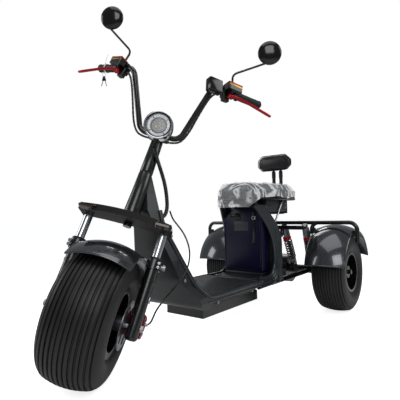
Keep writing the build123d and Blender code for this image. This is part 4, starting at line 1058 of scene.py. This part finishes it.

# %% [markdown]
# ## The clear film on the seat
# The seat still wears its packing: a clear polyethylene film that lies crumpled on the cushion and
# hangs over its nose. It is a sheet of rings, from the middle of the top out over the edge and
# down, with creases from ridged noise. The material paints slanted white streaks along thin noise
# lines, where the film turns nearly opaque: a painted highlight for the glints on its creases.

# %% Crumpled film
film_material, tree, shader = new_material("clear_polyethylene_film", Roughness=0.12, IOR=1.51,
                                           Base_Color=linear("#F3F5F7"))
place = add_node(tree, "ShaderNodeTexCoord")
pulled = add_node(tree, "ShaderNodeMapping", {"vector_type": "TEXTURE",
                                              "Rotation": (0.0, 0.0, -0.8),
                                              "Scale": (1.0, 6.0, 2.5)},
                  {"Vector": (place, "Object")})
crease = add_node(tree, "ShaderNodeTexNoise", {"Scale": 1 / (34 * MM), "Detail": 1.0,
                                               "Roughness": 0.5, "Distortion": 0.3},
                  {"Vector": (pulled, 0)})
# Painted highlight: thin lines of this noise make the film nearly opaque white, streaks that stand
# for glints on its creases.
waves = add_node(tree, "ShaderNodeMath", {"operation": "MULTIPLY", 1: 3.4}, {0: (crease, 0)})
glint_lines = add_node(tree, "ShaderNodeMath", {"operation": "PINGPONG", 1: 0.5}, {0: (waves, 0)})
glint_alpha = add_node(tree, "ShaderNodeMapRange", {"From Min": 0.02, "From Max": 0.3, "To Min": 0.9,
                                             "To Max": 0.2}, {"Value": (glint_lines, 0)})
tree.links.new(glint_alpha.outputs[0], shader.inputs["Alpha"])
slot_of[film_material] = "clear_glass"


def crumple(point, size, height):
    """How far a crease lifts the film here, in millimetres."""
    pulled = Vector((point[0] + 0.7 * point[1], 0.35 * (point[1] - 0.7 * point[0]), point[2]))
    first = 1 - abs(noise.noise(pulled / size)) * 2
    second = 1 - abs(noise.noise(pulled / (size * 0.45) + Vector((7, 3, 1)))) * 2
    return height * (max(first, 0) ** 2 + 0.45 * max(second, 0) ** 2)


even = []
for before, after in zip(ring, ring[1:]):
    count = max(1, round((after - before).length / 5))
    even += [before.lerp(after, step / count) for step in range(count)]
middle = Vector((0, 1140, 0))
TOP_RINGS, SIDE_RINGS = 46, 20
FILM_TOP, FILM_EDGE, ROUND_FROM = 717, 683, 0.8  # heights, and where the top turns down
points = []
for ring_step in range(TOP_RINGS + SIDE_RINGS + 1):
    for point in even:
        out = (point - middle).normalized()
        if ring_step <= TOP_RINGS:
            share = 0.03 + 0.97 * ring_step / TOP_RINGS
            flat = middle + (point - middle) * share
            sag = (FILM_TOP - FILM_EDGE) * (max(0.0, share - ROUND_FROM) / (1 - ROUND_FROM)) ** 2
            lift = crumple((flat.x, flat.y, 0), 60, 5)
            points.append((flat.x, flat.y, FILM_TOP - sag + lift))
        else:
            fall = (ring_step - TOP_RINGS) / SIDE_RINGS
            nose = max(0.0, min(1.0, (1010 - point.y) / 110))
            swing = noise.noise(Vector((point.x, point.y, 0)) / 90)
            drop = (42 + 54 * nose + 10 * swing) * fall
            lift = crumple((point.x, point.y, drop), 50, 4) + 4 + 8 * fall * nose
            flat = point + out * lift
            points.append((flat.x, flat.y, FILM_EDGE - drop))
faces = skin(TOP_RINGS + SIDE_RINGS + 1, len(even), last=False)
film = on_frame("seat_film", [(points, faces)], film_material, crease=180)
area = sum(face.area for face in film.data.polygons)
print("film area:", round(area, 4), "square metres")

# %% [markdown]
# ## Shock absorbers
# Each rear shock is a silver body with a red collar, a bright upper part and a black coil spring.
# The coil is a real helix round the damper, from the collar to the lower cup.

# %% Coil-over shocks
coil_steel = grained("black_spring_steel", "#191A1C", 1.0, 0.02, Roughness=0.28)
slot_of[coil_steel] = "painted_steel"
COIL_TURNS, COIL_START, COIL_RADIUS, COIL_STEPS = 7.5, 82, 21, 150
collar = lathe([(15.3, 62), (22, 63), (24, 66), (24, 74), (22, 78), (15.3, 79)], 36)
bottle = moved(lathe([(0, 14), (9, 15), (10.5, 18), (10.5, 66), (9, 69), (0, 70)], 24), put(y=-25))
silver, red, coils = [], [], []
for x in (100, 226):
    for sign in (1, -1):
        top, foot = Vector((sign * x, 1283, 470)), Vector((sign * x, 1392, 262))
        down = (foot - top).normalized()
        length = (foot - top).length
        side = down.cross(Vector((1, 0, 0))).normalized()
        line = placed(down, side, down.cross(side), top)
        damper = [(0, 0), (16, 0), (17, 3), (17, 20), (15, 26), (15, 78), (11, 82), (8, 83),
                  (8, length - 26), (20, length - 25), (22, length - 20), (16, length - 12),
                  (14.8, length), (0, length)]
        silver += [moved(lathe(damper, 32), line), moved(bottle, line)]
        red.append(moved(collar, line))
        helix = [(COIL_START + (length - 24 - COIL_START) * step / COIL_STEPS,
                  *around(COIL_RADIUS, COIL_TURNS * step, COIL_STEPS))
                 for step in range(COIL_STEPS + 1)]
        coils.append(moved(tube(helix, 4.4, 8), line))
on_frame("shock_dampers", silver, cast_alloy, ["shocks"])
on_frame("shock_collars", red, red_anodised)
on_frame("shock_springs", coils, coil_steel)

# %% [markdown]
# ## Cables
# A thick loom in spiral wrap comes from the bar clamp, swings out to the trike's left and goes into
# the neck shield. The brake hose leaves it, hangs in a wide bow and ends at the caliper. Two
# thinner wrapped cables are strapped to the risers. A NURBS curve through each route's points gives
# a soft line, and its tube is built round the points read back from that curve.

# %% Cable routes
bundle_route = [steering @ (Vector(point) * MM) for point in (
    (6, -29, 664), (22, -26, 634), (48, -2, 598), (76, 30, 558), (98, 54, 512), (113, 70, 466))]
bundle_route += [body_place @ (Vector(point) * MM) for point in ((45, 324, 548), (45, 300, 548))]
hose_route = [steering @ (Vector(point) * MM) for point in (
    (125, 72, 462), (139, 86, 440), (166, 104, 424), (202, 114, 398), (236, 116, 352),
    (252, 106, 302), (253, 90, 250), (240, 70, 200), (222, 54, 156), (204, 43, 114),
    (190, 42, 78), (187, 42, 50), (184, 41, 32), (175, 39, 21), (163.5, 39, 21))]


def soft_line(name, route):
    """Points along the NURBS curve that has this route as its control points."""
    curve = bpy.data.curves.new(name, "CURVE")
    curve.dimensions = "3D"
    spline = curve.splines.new("NURBS")
    spline.points.add(len(route) - 1)
    for point, place in zip(spline.points, route):
        point.co = (*place, 1.0)
    spline.order_u = 3
    spline.use_endpoint_u = True
    curve.resolution_u = 24
    holder = bpy.data.objects.new(name, curve)
    bpy.context.scene.collection.objects.link(holder)
    bpy.context.view_layer.update()
    drawn = bpy.data.meshes.new_from_object(
        holder.evaluated_get(bpy.context.evaluated_depsgraph_get()))
    line = [vertex.co.copy() for vertex in drawn.vertices]
    bpy.data.objects.remove(holder)
    bpy.data.curves.remove(curve)
    bpy.data.meshes.remove(drawn)
    return line


def evenly(line, step):
    """The same line in even steps."""
    even, left = [line[0]], step
    for before, after in zip(line, line[1:]):
        length = (after - before).length
        gone = left
        while gone <= length:
            even.append(before.lerp(after, gone / length))
            gone += step
        left = gone - length
    return even + [line[-1]] if (even[-1] - line[-1]).length > step / 3 else even


def wrapped(radius, pitch, rise):
    """The radius of spiral wrap in millimetres: a flat band with a narrow gap after each turn."""
    def reach(gone, angle):
        share = (gone / pitch - angle / (2 * math.pi)) % 1
        gap = max(0.0, min(1.0, (0.24 - min(share, 1 - share)) / 0.12))
        return radius - rise * gap
    return reach


def cable(name, route, diameter, pitch, rise, finish, body=None, stands_for=(), ends=None):
    """A cable along a route, with its length printed; a wrapped one has a pitch."""
    line = soft_line(name, route)
    length = sum((after - before).length for before, after in zip(line, line[1:]))
    step = min(0.0022, diameter / 3) if pitch else diameter * 0.8
    path = [point / MM for point in evenly(line, step)]
    reach = wrapped(diameter / 2 / MM, pitch, rise) if pitch else diameter / 2 / MM
    piece = new_piece(name, [tube(path, reach, 16 if pitch else 12)], finish, body,
                      stands_for=stands_for, crease=50)
    if ends:
        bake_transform(piece)
    print(name, "length", round(length, 3))
    return piece, line


loom, line = cable("cable_loom", bundle_route, 0.016, 6.5, 1.5, wrap_plastic,
                   stands_for=["cable_bundle"], ends=(bundle_route[1], bundle_route[-2]))
hose, line = cable("brake_hose_soft", hose_route, 0.0064, 0, 0, gloss_abs, body="steering",
                   stands_for=["brake_hose"])
banjo = [moved(lathe([(0, 0), (4.6, 0), (5.6, 2), (5.6, 9), (4.2, 11), (4.2, 15), (0, 15)], 24),
               put(163.2, 39, 21))]
fitting = on_steering("hose_fitting", banjo, zinc_steel)
for sign, side in SIDES:
    end, bend, along, ahead, rise = bar_axes(sign)
    low = Vector((sign * 84, 0, 744))
    up_riser = (bend - low).normalized()
    beside = along.cross(up_riser).normalized() * sign * 16.3
    entry = end - along * 210 - rise * 22
    start = Vector((6, -29, 664))
    leave = (start - Vector((22, -26, 634))).normalized()
    start += leave.cross(Vector((0, sign, 0))).normalized() * 4.8 + leave * 4.5
    route = (start, start + Vector((0, 0, 44)), low + beside - Vector((sign * 42, 0, 23)),
             low + beside * 1.25 + Vector((sign * 11.5, 0, 0)),
             low + beside * 1.25 + up_riser * (bend - low).length * 0.62,
             entry - along * 34 + beside / 3, entry)
    route = [steering @ (point * MM) for point in route]
    strapped, line = cable(f"riser_cable_{side}", route, 0.009, 5.0, 1.0, wrap_plastic,
                           body="steering", stands_for=once(sign, "riser_cables"))
